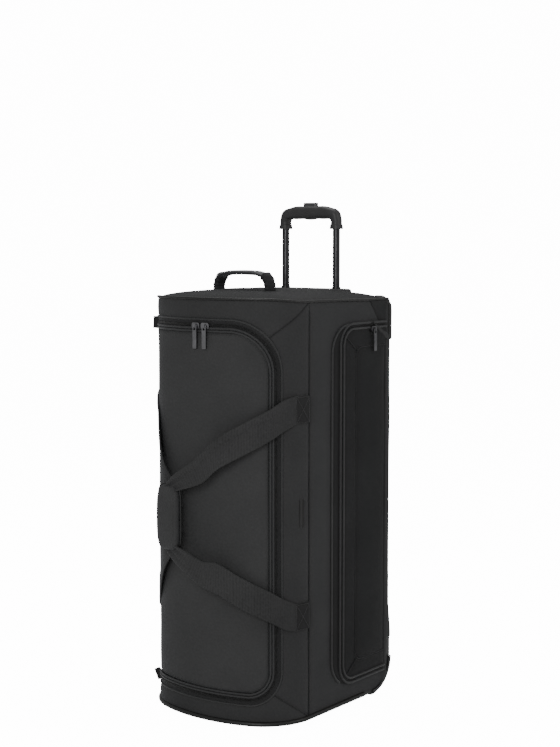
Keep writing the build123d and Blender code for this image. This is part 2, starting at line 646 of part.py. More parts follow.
with BuildPart() as base_feet:
    for side in (-1, 1):
        with BuildSketch(Plane.XY):
            with Locations((side * FOOT_X, FOOT_Y)):
                SlotOverall(2 * FOOT_HALF, FOOT_WIDTH)
        with BuildSketch(Plane.XY.offset(BODY_BOTTOM)):
            with Locations((side * FOOT_X, FOOT_Y)):
                SlotOverall(2 * FOOT_HALF + 6, FOOT_WIDTH + 6)
        loft()
write(base_feet, "base_feet")

# ---- telescopic trolley ----
with BuildPart() as trolley_bezel:
    with BuildSketch(Plane.XY.offset(BODY_TOP)):
        with Locations((0, TUBE_Y)):
            SlotOverall(2 * BEZEL_HALF_LENGTH, 2 * BEZEL_HALF_WIDTH)
        with Locations((-TUBE_SPACING / 2, TUBE_Y), (TUBE_SPACING / 2, TUBE_Y)):
            Circle(MIDDLE_TUBE + CLEAR, mode=Mode.SUBTRACT)
    extrude(amount=BEZEL_TOP - BODY_TOP)
    fillet(trolley_bezel.faces().sort_by(Axis.Z)[-1].outer_wire().edges(), 5)
write(trolley_bezel, "trolley_bezel")

for side, side_name in ((-1, "left"), (1, "right")):
    tube_x = side * TUBE_SPACING / 2
    stages = (
        ("outer", OUTER_TUBE, OUTER_TUBE_BOTTOM, BODY_TOP),
        ("middle", MIDDLE_TUBE, MIDDLE_TUBE_BOTTOM, BEZEL_TOP + 3),
        ("inner", INNER_TUBE, INNER_TUBE_BOTTOM, LEG_BOTTOM + 14),
    )
    for stage, radius, low, high in stages:
        with BuildPart() as tube:
            with BuildSketch(Plane.XY.offset(low)):
                with Locations((tube_x, TUBE_Y)):
                    Circle(radius)
                    Circle(radius - TUBE_WALL, mode=Mode.SUBTRACT)
            extrude(amount=high - low)
        write(tube, f"trolley_tube_{stage}_{side_name}")

with BuildPart() as trolley_foot:
    with BuildSketch(Plane.XY.offset(OUTER_TUBE_BOTTOM - 24)):
        with Locations((0, TUBE_Y)):
            SlotOverall(TUBE_SPACING + 44, 40)
    extrude(amount=24)
    with BuildSketch(Plane.XY.offset(SHELL_BOTTOM)):
        with Locations((-TUBE_SPACING / 4, TUBE_Y), (TUBE_SPACING / 4, TUBE_Y)):
            Rectangle(16, 16)
    extrude(amount=OUTER_TUBE_BOTTOM - 24 - SHELL_BOTTOM)
write(trolley_foot, "trolley_foot")

# ---- trolley grip with its release button, link bar and push rods ----
LEG_X = TUBE_SPACING / 2
CHANNEL_FLOOR = GRIP_TOP - GRIP_BAR + 2.6
LINK_BOTTOM = CHANNEL_FLOOR + BUTTON_TRAVEL + CLEAR
LINK_TOP = LINK_BOTTOM + 4
CHANNEL_TOP = LINK_TOP + 1
TUBE_SOCKET = 14.0
SLOT_HALF = BUTTON_DEPTH / 2 + CLEAR
with BuildPart() as trolley_grip:
    with BuildSketch(Plane.XZ.offset(-TUBE_Y)):
        with Locations((0, (GRIP_TOP + LEG_BOTTOM) / 2)):
            Rectangle(2 * GRIP_HALF_LENGTH, GRIP_TOP - LEG_BOTTOM)
        fillet(vertices().group_by(Axis.Y)[-1], radius=16)
        with Locations((0, (GRIP_TOP - GRIP_BAR + LEG_BOTTOM) / 2)):
            Rectangle(2 * LEG_X - LEG_WIDTH, GRIP_TOP - GRIP_BAR - LEG_BOTTOM, mode=Mode.SUBTRACT)
    extrude(amount=GRIP_DEPTH / 2, both=True)
    fillet(trolley_grip.edges().filter_by(Axis.X).group_by(Axis.Z)[-1], 6)
    for depth, radius in ((TUBE_SOCKET, INNER_TUBE), (CHANNEL_FLOOR - LEG_BOTTOM, ROD_RADIUS + 1)):
        with BuildSketch(Plane.XY.offset(LEG_BOTTOM)):
            with Locations((-LEG_X, TUBE_Y), (LEG_X, TUBE_Y)):
                Circle(radius)
        extrude(amount=depth, mode=Mode.SUBTRACT)
    with BuildSketch(Plane.XY.offset(CHANNEL_FLOOR)):
        with Locations((0, TUBE_Y)):
            Rectangle(2 * LEG_X + 10, 2 * SLOT_HALF)
    extrude(amount=CHANNEL_TOP - CHANNEL_FLOOR, mode=Mode.SUBTRACT)
    with BuildSketch(Plane.XY.offset(CHANNEL_FLOOR)):
        with Locations((0, TUBE_Y)):
            Rectangle(2 * BUTTON_HALF + 2 * CLEAR, 2 * SLOT_HALF)
    extrude(amount=FAR, mode=Mode.SUBTRACT)
write(trolley_grip, "trolley_grip")

with BuildPart() as release_button:
    with BuildSketch(Plane.XY.offset(LINK_TOP)):
        with Locations((0, TUBE_Y)):
            RectangleRounded(2 * BUTTON_HALF, BUTTON_DEPTH, 4)
    extrude(amount=GRIP_TOP + BUTTON_RISE - LINK_TOP)
    fillet(release_button.faces().sort_by(Axis.Z)[-1].edges(), 2)
write(release_button, "release_button")

with BuildPart() as button_link:
    with BuildSketch(Plane.XY.offset(LINK_BOTTOM)):
        with Locations((0, TUBE_Y)):
            Rectangle(2 * LEG_X + 8, BUTTON_DEPTH - 2)
    extrude(amount=LINK_TOP - LINK_BOTTOM)
write(button_link, "button_link")

with BuildPart() as push_rods:
    with BuildSketch(Plane.XY.offset(INNER_TUBE_BOTTOM + 20)):
        with Locations((-LEG_X, TUBE_Y), (LEG_X, TUBE_Y)):
            Circle(ROD_RADIUS)
    extrude(amount=LINK_BOTTOM - INNER_TUBE_BOTTOM - 20)
write(push_rods, "push_rods")

# ---- top grab handle ----
SLEEVE_HALF = 46.0


def handle_arch(low, high):
    """Draws the side view of the handle's arch between two heights above the top panel."""
    with BuildLine() as outline:
        for half, rise in (low, high):
            crest = (HANDLE_X, BODY_TOP + rise)
            ThreePointArc((HANDLE_X - half, BODY_TOP), crest, (HANDLE_X + half, BODY_TOP))
        Line((HANDLE_X - high[0], BODY_TOP), (HANDLE_X - low[0], BODY_TOP))
        Line((HANDLE_X + low[0], BODY_TOP), (HANDLE_X + high[0], BODY_TOP))
    make_face(outline.edges())


with BuildPart() as top_handle_sleeve:
    with BuildSketch(Plane.XZ.offset(-HANDLE_Y)):
        handle_arch((HANDLE_HALF - HANDLE_THICK, HANDLE_RISE - HANDLE_THICK), (HANDLE_HALF, HANDLE_RISE))
    extrude(amount=HANDLE_WIDTH / 2, both=True)
    with BuildSketch(Plane.XY.offset(BODY_TOP)):
        with Locations((HANDLE_X, HANDLE_Y)):
            Rectangle(2 * SLEEVE_HALF, HANDLE_WIDTH)
    extrude(amount=FAR, mode=Mode.INTERSECT)
write(top_handle_sleeve, "top_handle_sleeve")

with BuildPart() as top_handle_webbing:
    with BuildSketch(Plane.XZ.offset(-HANDLE_Y)):
        handle_arch(
            (HANDLE_HALF - HANDLE_THICK + 2, HANDLE_RISE - HANDLE_THICK + 3), (HANDLE_HALF - 2, HANDLE_RISE - 3)
        )
    extrude(amount=HANDLE_WIDTH / 2 - 3, both=True)
    with BuildSketch(Plane.XY.offset(BODY_TOP)):
        with Locations((HANDLE_X, HANDLE_Y)):
            Rectangle(2 * SLEEVE_HALF, 2 * HANDLE_WIDTH)
    extrude(amount=FAR, mode=Mode.SUBTRACT)
write(top_handle_webbing, "top_handle_webbing")

# ---- main zip sliders and their pullers, riding on the lid ----
SLIDER_ANGLES = {"left": -1.0, "right": 3.2}
SLIDER_WIDTH = 11.0
SLIDER_LENGTH = 18.0
SLIDER_THICK = 4.0
SLIDER_Z = LID_TOP + 1
BRIDGE_WIDTH = 3.6
PULLER_AXIS = 6.2  # pin's distance in front of the dome
PULLER_WIDTH = 9.0
PULLER_LENGTH = 43.0
PULLER_THICK = 2.2
PIN_RADIUS = 1.0
PULLER_HEAD = 1.4  # puller's end above its pin, short enough to turn clear of the slider


def zip_slider(face, pin_height):
    """Builds a slider on the plane face, its bridge bored across for the puller's pin."""
    with BuildPart() as slider:
        with BuildSketch(face.offset(0.3)):
            RectangleRounded(SLIDER_LENGTH, SLIDER_WIDTH, 4)
        extrude(amount=SLIDER_THICK)
        with BuildSketch(face.offset(0.3 + SLIDER_THICK)):
            RectangleRounded(BRIDGE_WIDTH, 7, 1.2)
        extrude(amount=pin_height + PIN_RADIUS + 0.8 - 0.3 - SLIDER_THICK)
        across = Plane(face.from_local_coords((0, 0, pin_height)), x_dir=face.y_dir, z_dir=face.x_dir)
        with BuildSketch(across):
            Circle(PIN_RADIUS + 0.3)
        extrude(amount=SLIDER_WIDTH, both=True, mode=Mode.SUBTRACT)
    return slider


def zip_puller(face, pin_height):
    """Builds a hanging puller: a pin, a fork round the bridge and a flat tab."""
    with BuildPart() as puller:
        with BuildSketch(face.offset(pin_height - PULLER_THICK / 2)):
            with Locations((0, PULLER_HEAD - PULLER_LENGTH / 2)):
                RectangleRounded(PULLER_WIDTH, PULLER_LENGTH, 1.8)
            with Locations((0, -1)):
                Rectangle(BRIDGE_WIDTH + 1, 14, mode=Mode.SUBTRACT)
        extrude(amount=PULLER_THICK)
        across = Plane(face.from_local_coords((0, 0, pin_height)), x_dir=face.y_dir, z_dir=face.x_dir)
        with BuildSketch(across):
            Circle(PIN_RADIUS)
        extrude(amount=PULLER_WIDTH / 2 - 0.6, both=True)
    return puller


for side_name, angle in SLIDER_ANGLES.items():
    turn = math.radians(angle)
    place = (FRONT_RADIUS * math.sin(turn), FRONT_CENTRE_Y - FRONT_RADIUS * math.cos(turn), SLIDER_Z)
    face = Plane(place, x_dir=(math.cos(turn), math.sin(turn), 0), z_dir=(math.sin(turn), -math.cos(turn), 0))
    write(zip_slider(face, PULLER_AXIS), f"zip_slider_{side_name}")
    write(zip_puller(face, PULLER_AXIS), f"zip_puller_{side_name}")

POCKET_SLIDER_Y = 138.0
pocket_face = Plane(
    (POCKET_FACE + POCKET_SKIN, POCKET_SLIDER_Y, POCKET_TOP - 6), x_dir=(0, 1, 0), z_dir=(1, 0, 0)
)
write(zip_slider(pocket_face, PULLER_AXIS), "pocket_slider")
write(zip_puller(pocket_face, PULLER_AXIS), "pocket_puller")

# ---- inside: liner in front of the trolley tubes and a packing strap ----
DIVIDER_FRONT = 149.0
DIVIDER_THICK = 2.5
PACKING_STRAP_Z = 390.0
PACKING_STRAP_LENGTH = 300.0
PACKING_STRAP_WIDTH = 25.0
PACKING_STRAP_THICK = 1.6
BUCKLE_THICK = 7.0
with BuildPart() as inner_divider:
    with BuildSketch(Plane.XZ.offset(-DIVIDER_FRONT - DIVIDER_THICK)):
        with BuildLine():
            inside = HALF_WIDTH - PANEL
            Polyline(
                (-inside, SHELL_TOP), (inside, SHELL_TOP), (inside, HOUSING_CLEAR_Z),
                (HOUSING_CLEAR_X, HOUSING_CLEAR_Z), (HOUSING_CLEAR_X, SHELL_BOTTOM),
                (-HOUSING_CLEAR_X, SHELL_BOTTOM), (-HOUSING_CLEAR_X, HOUSING_CLEAR_Z),
                (-inside, HOUSING_CLEAR_Z), close=True,
            )
        make_face()
    extrude(amount=DIVIDER_THICK)
write(inner_divider, "inner_divider")

with BuildPart() as packing_strap:
    with BuildSketch(Plane.XZ.offset(-DIVIDER_FRONT)):
        with Locations((0, PACKING_STRAP_Z)):
            Rectangle(PACKING_STRAP_LENGTH, PACKING_STRAP_WIDTH)
    extrude(amount=PACKING_STRAP_THICK)
write(packing_strap, "packing_strap")

with BuildPart() as packing_buckle:
    with BuildSketch(Plane.XZ.offset(-DIVIDER_FRONT + PACKING_STRAP_THICK)):
        with Locations((0, PACKING_STRAP_Z)):
            RectangleRounded(58, 34, 6)
    extrude(amount=BUCKLE_THICK)
    fillet(packing_buckle.faces().sort_by(Axis.Y)[0].edges(), 2)
write(packing_buckle, "packing_buckle")
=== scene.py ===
import bisect
import json
import math

import bpy
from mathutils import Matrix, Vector, noise


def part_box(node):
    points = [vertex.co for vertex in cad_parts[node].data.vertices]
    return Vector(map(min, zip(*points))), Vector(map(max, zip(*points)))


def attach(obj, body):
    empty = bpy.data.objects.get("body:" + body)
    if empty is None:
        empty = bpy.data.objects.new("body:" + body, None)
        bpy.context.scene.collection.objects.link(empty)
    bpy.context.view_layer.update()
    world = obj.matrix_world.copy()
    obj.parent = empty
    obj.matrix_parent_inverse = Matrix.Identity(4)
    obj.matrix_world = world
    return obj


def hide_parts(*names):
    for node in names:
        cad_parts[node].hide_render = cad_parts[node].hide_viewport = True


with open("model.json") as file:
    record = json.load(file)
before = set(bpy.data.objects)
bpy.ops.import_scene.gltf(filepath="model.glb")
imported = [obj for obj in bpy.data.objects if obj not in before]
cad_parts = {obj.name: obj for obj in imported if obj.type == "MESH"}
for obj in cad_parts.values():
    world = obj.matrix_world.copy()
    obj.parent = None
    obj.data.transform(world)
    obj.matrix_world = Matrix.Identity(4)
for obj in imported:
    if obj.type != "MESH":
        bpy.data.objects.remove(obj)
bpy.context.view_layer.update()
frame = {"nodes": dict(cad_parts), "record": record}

# ---- sizes read from the frame, in metres ----
MM = 0.001
top_low, top_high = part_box("top_end_panel")
side_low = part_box("side_panel_right")[0]
tape_low, tape_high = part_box("frame_zip_tape")
lid_low, lid_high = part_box("lid_zip_tape")
half_width = top_high[0]
front_y = top_low[1]
back_y = top_high[1]
body_top = top_high[2]
body_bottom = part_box("base_board")[0][2]
seam_y = side_low[1]
shoulder_radius = 104 * MM
back_corner = 5 * MM
bulge = seam_y - front_y
shoulder_x = half_width - shoulder_radius
front_radius = (shoulder_x**2 + bulge**2 - shoulder_radius**2) / (2 * (bulge - shoulder_radius))
front_centre_y = front_y + front_radius
front_turn = math.asin(shoulder_x / (front_radius - shoulder_radius))
front_length = front_radius * front_turn
shoulder_length = shoulder_radius * (math.pi / 2 - front_turn)
seam_s = front_length + shoulder_length
side_length = back_y - back_corner - seam_y
side_end = seam_s + side_length
corner_length = back_corner * math.pi / 2
back_start = side_end + corner_length
half_round = back_start + half_width - back_corner

lid_top = (tape_high[2] + lid_high[2]) / 2 - 6 * MM
lid_bottom = (tape_low[2] + lid_low[2]) / 2 + 6 * MM
lid_s = 149 * MM  # zip line, measured round the dome from its middle
lid_radius_top = 84 * MM
lid_radius_bottom = 50 * MM
band = 12.5 * MM  # half the width of the zip with its welts


def smooth_step(low, high, value):
    t = min(1, max(0, (value - low) / (high - low)))
    return t * t * (3 - 2 * t)


# ---- the bag's outline in plan ----
def plan(s):
    """Point and outward direction on the outline, s metres round from the middle of the front."""
    side = 1 if s >= 0 else -1
    s = abs(s)
    if s <= front_length:
        turn = s / front_radius
        point = (front_radius * math.sin(turn), front_centre_y - front_radius * math.cos(turn))
        out = (math.sin(turn), -math.cos(turn))
    elif s <= seam_s:
        turn = front_turn + (s - front_length) / shoulder_radius
        out = (math.sin(turn), -math.cos(turn))
        point = (shoulder_x + shoulder_radius * out[0], seam_y + shoulder_radius * out[1])
    elif s <= side_end:
        point = (half_width, seam_y + s - seam_s)
        out = (1, 0)
    elif s <= back_start:
        turn = (s - side_end) / back_corner
        out = (math.cos(turn), math.sin(turn))
        point = (half_width - back_corner + back_corner * out[0], back_y - back_corner + back_corner * out[1])
    else:
        point = (half_width - back_corner - (s - back_start), back_y)
        out = (0, 1)
    return side * point[0], point[1], side * out[0], out[1]


def rim_rise(s):
    """How far the soft top edge stands above its rear corners."""
    front = 3.5 * MM + 5.5 * MM * (1 - smooth_step(0.12, seam_s, abs(s)))
    return front * (1 - smooth_step(seam_s, side_end, abs(s)))


def on_bag(s, z, lift):
    """A point on the bag's skin, lifted outward."""
    x, y, out_x, out_y = plan(s)
    z += rim_rise(s) * smooth_step(body_top - 26 * MM, body_top, z)
    return Vector((x + lift * out_x, y + lift * out_y, z))


def skin_frame(s, z, lift, across_s, across_z):
    """Centre, across and outward directions for a strip that runs over the skin."""
    x, y, out_x, out_y = plan(s)
    along = Vector((-out_y, out_x, 0))
    across = along * across_s + Vector((0, 0, across_z))
    return Vector((x + lift * out_x, y + lift * out_y, z)), across.normalized(), Vector((out_x, out_y, 0))


def rounded_run(left, right, low, high, radius_high, radius_low, offset, step=3 * MM):
    """A run from the top left, round both right corners, to the bottom left: (s, z, across)."""
    right += offset
    low -= offset
    high += offset
    radius_high = max(radius_high + offset, 1 * MM)
    radius_low = max(radius_low + offset, 1 * MM)
    points = []

    def straight(start, end, across):
        count = max(2, int(math.dist(start, end) / step))
        for i in range(count):
            t = i / count
            points.append((start[0] + (end[0] - start[0]) * t, start[1] + (end[1] - start[1]) * t, across))

    def corner(centre, radius, start):
        count = max(6, int(radius * math.pi / 2 / step))
        for i in range(count):
            turn = start - i / count * math.pi / 2
            across = (math.cos(turn), math.sin(turn))
            points.append((centre[0] + radius * across[0], centre[1] + radius * across[1], across))

    straight((left, high), (right - radius_high, high), (0, 1))
    corner((right - radius_high, high - radius_high), radius_high, math.pi / 2)
    straight((right, high - radius_high), (right, low + radius_low), (1, 0))
    corner((right - radius_low, low + radius_low), radius_low, 0)
    straight((right - radius_low, low), (left, low), (0, -1))
    points.append((left, low, (0, -1)))
    return points


def inside_run(s, z, left, right, low, high, radius_high, radius_low):
    """Distance to a rounded opening: negative inside it."""
    if z > (low + high) / 2:
        radius = radius_high
    else:
        radius = radius_low
    middle_s, middle_z = (left + right) / 2, (low + high) / 2
    reach_s, reach_z = (right - left) / 2, (high - low) / 2
    if s < middle_s:
        radius = 0
    q_s = abs(s - middle_s) - reach_s + radius
    q_z = abs(z - middle_z) - reach_z + radius
    return math.hypot(max(q_s, 0), max(q_z, 0)) + min(max(q_s, q_z), 0) - radius


def to_segment(s, z, start, end):
    span_s, span_z = end[0] - start[0], end[1] - start[1]
    t = ((s - start[0]) * span_s + (z - start[1]) * span_z) / (span_s**2 + span_z**2)
    t = min(1, max(0, t))
    return math.hypot(s - start[0] - t * span_s, z - start[1] - t * span_z)


def puff(distance, height, reach, groove):
    """Padding's height at a distance from the nearest seam, with the stitched groove at the seam."""
    fill = height * (1 - math.exp(-max(distance, 0) / reach))
    return fill - groove * math.exp(-((distance / (1.7 * MM)) ** 2))


def ripple(s, z, size, height, seed=0.0):
    return height * noise.noise(Vector((s / size, z / size, seed)))


# ---- making meshes ----
def deselect():
    bpy.ops.object.select_all(action="DESELECT")


def apply_modifiers(piece):
    deselect()
    bpy.context.view_layer.objects.active = piece
    piece.select_set(True)
    for modifier in list(piece.modifiers):
        bpy.ops.object.modifier_apply(modifier=modifier.name)


def finish_mesh(piece, material, smooth=True):
    piece.data.materials.clear()
    piece.data.materials.append(material)
    for face in piece.data.polygons:
        face.use_smooth = smooth
    return piece


def grid(name, columns, rows, place, size=(1, 1), around=False):
    """A grid primitive whose points are moved to place(u, v), its UV map scaled to size."""
    deselect()
    bpy.ops.mesh.primitive_grid_add(x_subdivisions=columns, y_subdivisions=rows, size=1)
    piece = bpy.context.object
    piece.name = name
    piece.data.name = name
    for vertex in piece.data.vertices:
        vertex.co = place(vertex.co.x + 0.5, vertex.co.y + 0.5)
    for corner in piece.data.uv_layers.active.data:
        corner.uv = (corner.uv[0] * size[0], corner.uv[1] * size[1])
    if around:
        bpy.ops.object.mode_set(mode="EDIT")
        bpy.ops.mesh.select_all(action="SELECT")
        bpy.ops.mesh.remove_doubles(threshold=0.02 * MM)
        bpy.ops.object.mode_set(mode="OBJECT")
    return piece


def face_outward(piece, inside):
    """Turns an open sheet's faces away from a point inside the bag."""
    total = sum((face.center - inside).dot(face.normal) * face.area for face in piece.data.polygons)
    if total < 0:
        piece.data.flip_normals()


def drop_faces(piece, unwanted):
    """Deletes the faces whose centre the test names."""
    deselect()
    bpy.context.view_layer.objects.active = piece
    piece.select_set(True)
    bpy.ops.object.mode_set(mode="EDIT")
    bpy.ops.mesh.select_mode(type="FACE")
    bpy.ops.mesh.select_all(action="DESELECT")
    bpy.ops.object.mode_set(mode="OBJECT")
    for face in piece.data.polygons:
        face.select = unwanted(face)
    bpy.ops.object.mode_set(mode="EDIT")
    bpy.ops.mesh.delete(type="FACE")
    bpy.ops.object.mode_set(mode="OBJECT")


def thicken(piece, thickness):
    """Gives a sheet its wall, growing inward."""
    wall = piece.modifiers.new("wall", "SOLIDIFY")
    wall.thickness = thickness
    wall.offset = -1
    apply_modifiers(piece)


def line_and_thicken(piece, thickness, cover):
    """Gives a panel its padding, with the cover outside and the lining inside."""
    piece.data.materials.clear()
    piece.data.materials.append(cover)
    piece.data.materials.append(LINING)
    wall = piece.modifiers.new("wall", "SOLIDIFY")
    wall.thickness = thickness
    wall.offset = -1
    wall.material_offset = 1
    apply_modifiers(piece)
    for face in piece.data.polygons:
        face.use_smooth = True


def loft(name, samples, section, material, close_ends=True):
    """A strip along samples of (centre, across, outward), with a closed section of (across, height)."""
    count = len(section)
    rows = len(samples) - 1
    lengths = [0]
    for before, after in zip(samples, samples[1:]):
        lengths.append(lengths[-1] + (after[0] - before[0]).length)
    around = sum(math.dist(section[i], section[(i + 1) % count]) for i in range(count))

    def place(u, v):
        centre, across, outward = samples[round(v * rows)]
        reach, height = section[round(u * count) % count]
        return centre + across * reach + outward * height

    piece = grid(name, count, rows, place, size=(around, lengths[-1]), around=True)
    if close_ends:
        bpy.ops.object.mode_set(mode="EDIT")
        bpy.ops.mesh.select_all(action="SELECT")
        bpy.ops.mesh.fill_holes(sides=0)
        bpy.ops.mesh.normals_make_consistent(inside=False)
        bpy.ops.object.mode_set(mode="OBJECT")
    finish_mesh(piece, material)
    return piece


def round_section(radius, sides=8, squash=1.0):
    return [
        (radius * math.cos(2 * math.pi * i / sides), radius * squash * math.sin(2 * math.pi * i / sides))
        for i in range(sides)
    ]


def flat_section(width, thickness, bend=0.0):
    """A flat webbing section with soft edges."""
    half = width / 2
    edge = thickness / 2
    top = [(-half + width * i / 8, thickness + bend * (1 - (2 * i / 8 - 1) ** 2)) for i in range(9)]
    low = [(half - width * i / 8, bend * (1 - (2 * i / 8 - 1) ** 2)) for i in range(9)]
    return [(-half - edge * 0.6, edge)] + top + [(half + edge * 0.6, edge)] + low


def on_skin(run, lift):
    """Strip samples over the skin from a run of (s, z, across)."""
    return [skin_frame(s, z, lift, across[0], across[1]) for s, z, across in run]


def evenly(samples, spacing, shift=0.5):
    """Samples at even spacing along a strip, each with its direction of travel."""
    lengths = [0]
    for before, after in zip(samples, samples[1:]):
        lengths.append(lengths[-1] + (after[0] - before[0]).length)
    count = int(lengths[-1] / spacing)
    placed = []
    for k in range(count):
        target = (k + shift) * spacing
        i = min(len(samples) - 2, max(0, bisect.bisect_right(lengths, target) - 1))
        t = (target - lengths[i]) / max(lengths[i + 1] - lengths[i], 1e-9)
        centre = samples[i][0].lerp(samples[i + 1][0], t)
        across = samples[i][1].lerp(samples[i + 1][1], t).normalized()
        outward = samples[i][2].lerp(samples[i + 1][2], t).normalized()
        travel = (samples[i + 1][0] - samples[i][0]).normalized()
        placed.append((centre, travel, across, outward))
    return placed


def row_of(name, pattern, places, material):
    """Copies a small mesh (x along, y across, z outward) to each place, in one object."""
    points = []
    faces = []
    for centre, travel, across, outward in places:
        first = len(points)
        for x, y, z in pattern[0]:
            points.append(centre + travel * x + across * y + outward * z)
        faces.extend([tuple(first + i for i in face) for face in pattern[1]])
    mesh = bpy.data.meshes.new(name)
    mesh.from_pydata(points, [], faces)
    piece = bpy.data.objects.new(name, mesh)
    bpy.context.collection.objects.link(piece)
    deselect()
    bpy.context.view_layer.objects.active = piece
    piece.select_set(True)
    bpy.ops.object.mode_set(mode="EDIT")
    bpy.ops.mesh.select_all(action="SELECT")
    bpy.ops.mesh.normals_make_consistent(inside=False)
    bpy.ops.object.mode_set(mode="OBJECT")
    return finish_mesh(piece, material)


def small_pattern(make, move):
    """The points and faces of a small primitive after move, ready for copying."""
    deselect()
    make()
    piece = bpy.context.object
    points = [move(vertex.co.copy()) for vertex in piece.data.vertices]
    faces = [tuple(face.vertices) for face in piece.data.polygons]
    bpy.data.objects.remove(piece)
    return points, faces


def stitch_pattern(length=3.0 * MM, thick=0.75 * MM):
    def make():
        bpy.ops.mesh.primitive_uv_sphere_add(
            segments=6, ring_count=4, radius=0.5, rotation=(0, math.pi / 2, 0)
        )
        bpy.ops.object.transform_apply(location=False, rotation=True, scale=False)

    return small_pattern(make, lambda p: (p.x * length, p.y * thick, p.z * thick))


# ---- shader parts shared by several materials ----
def new_group(name, inputs, outputs):
    group = bpy.data.node_groups.new(name, "ShaderNodeTree")
    for label, kind, value in inputs:
        socket = group.interface.new_socket(name=label, in_out="INPUT", socket_type=kind)
        if value is not None:
            socket.default_value = value
    for label, kind in outputs:
        group.interface.new_socket(name=label, in_out="OUTPUT", socket_type=kind)
    enter = group.nodes.new("NodeGroupInput")
    leave = group.nodes.new("NodeGroupOutput")
    return group, enter, leave


def math_node(tree, operation, first, second=None):
    node = tree.nodes.new("ShaderNodeMath")
    node.operation = operation
    for index, value in enumerate((first, second)):
        if value is None:
            continue
        if isinstance(value, (int, float)):
            node.inputs[index].default_value = value
        else:
            tree.links.new(value, node.inputs[index])
    return node.outputs[0]


def noise_node(tree, vector, scale, detail=2.0, rough=0.5):
    node = tree.nodes.new("ShaderNodeTexNoise")
    node.inputs["Scale"].default_value = scale
    node.inputs["Detail"].default_value = detail
    node.inputs["Roughness"].default_value = rough
    tree.links.new(vector, node.inputs["Vector"])
    return node.outputs["Fac"]


def make_weave_group():
    """Plain or ribbed weave: yarn height and a worn-yarn mask from a cloth coordinate in metres."""
    group, enter, leave = new_group(
        "Weave",
        [
            ("Vector", "NodeSocketVector", None),
            ("Yarns", "NodeSocketFloat", 1400.0),
            ("Slant", "NodeSocketFloat", 0.0),
        ],
        [("Height", "NodeSocketFloat"), ("Yarn tone", "NodeSocketFloat")],
    )
    split = group.nodes.new("ShaderNodeSeparateXYZ")
    group.links.new(enter.outputs["Vector"], split.inputs[0])
    slanted = math_node(group, "MULTIPLY", split.outputs[0], enter.outputs["Slant"])
    across = math_node(group, "MULTIPLY", split.outputs[0], enter.outputs["Yarns"])
    up = math_node(group, "ADD", split.outputs[1], slanted)
    along = math_node(group, "MULTIPLY", up, enter.outputs["Yarns"])
    warp = math_node(group, "SINE", math_node(group, "MULTIPLY", across, math.pi))
    weft = math_node(group, "SINE", math_node(group, "MULTIPLY", along, math.pi))
    over = math_node(group, "MULTIPLY", warp, weft)
    height = math_node(group, "MULTIPLY_ADD", over, 0.5)
    height.node.inputs[2].default_value = 0.5
    fuzz = noise_node(group, enter.outputs["Vector"], 900.0, 2.0, 0.6)
    total = math_node(group, "ADD", height, math_node(group, "MULTIPLY", fuzz, 0.6))
    group.links.new(total, leave.inputs["Height"])
    group.links.new(noise_node(group, enter.outputs["Vector"], 240.0, 3.0, 0.65), leave.inputs["Yarn tone"])
    return group


def make_wear_group():
    """Dust and handling marks: a slow mask from an object coordinate."""
    group, enter, leave = new_group(
        "Handling",
        [("Vector", "NodeSocketVector", None), ("Size", "NodeSocketFloat", 9.0)],
        [("Mask", "NodeSocketFloat")],
    )
    node = group.nodes.new("ShaderNodeTexNoise")
    node.inputs["Detail"].default_value = 5.0
    node.inputs["Roughness"].default_value = 0.6
    group.links.new(enter.outputs["Vector"], node.inputs["Vector"])
    group.links.new(enter.outputs["Size"], node.inputs["Scale"])
    ramp = group.nodes.new("ShaderNodeMapRange")
    ramp.inputs["From Min"].default_value = 0.35
    ramp.inputs["From Max"].default_value = 0.75
    group.links.new(node.outputs["Fac"], ramp.inputs["Value"])
    group.links.new(ramp.outputs[0], leave.inputs["Mask"])
    return group


def make_grain_group():
    """Moulded plastic grain: fine pebbled height from an object coordinate."""
    group, enter, leave = new_group(
        "Moulded grain",
        [("Vector", "NodeSocketVector", None), ("Scale", "NodeSocketFloat", 900.0)],
        [("Height", "NodeSocketFloat")],
    )
    cells = group.nodes.new("ShaderNodeTexVoronoi")
    group.links.new(enter.outputs["Vector"], cells.inputs["Vector"])
    group.links.new(enter.outputs["Scale"], cells.inputs["Scale"])
    soft = noise_node(group, enter.outputs["Vector"], 350.0, 3.0, 0.6)
    total = math_node(group, "ADD", cells.outputs["Distance"], soft)
    group.links.new(total, leave.inputs["Height"])
    return group


WEAVE = make_weave_group()
HANDLING = make_wear_group()
GRAIN = make_grain_group()


def use_group(tree, group, vector, **values):
    node = tree.nodes.new("ShaderNodeGroup")
    node.node_tree = group
    tree.links.new(vector, node.inputs["Vector"])
    for label, value in values.items():
        node.inputs[label].default_value = value
    return node


def start_material(name, roughness, specular):
    material = bpy.data.materials.new(name)
    material.use_nodes = True
    tree = material.node_tree
    shader = tree.nodes["Principled BSDF"]
    shader.inputs["Roughness"].default_value = roughness
    shader.inputs["Specular IOR Level"].default_value = specular
    coordinates = tree.nodes.new("ShaderNodeTexCoord")
    return material, tree, shader, coordinates


def mix_colours(tree, factor, first, second):
    node = tree.nodes.new("ShaderNodeMix")
    node.data_type = "RGBA"
    node.inputs["A"].default_value = (*first, 1)
    node.inputs["B"].default_value = (*second, 1)
    tree.links.new(factor, node.inputs["Factor"])
    return node.outputs["Result"]


def set_bump(tree, shader, height, strength, distance):
    bump = tree.nodes.new("ShaderNodeBump")
    bump.inputs["Strength"].default_value = strength
    bump.inputs["Distance"].default_value = distance
    tree.links.new(height, bump.inputs["Height"])
    tree.links.new(bump.outputs["Normal"], shader.inputs["Normal"])


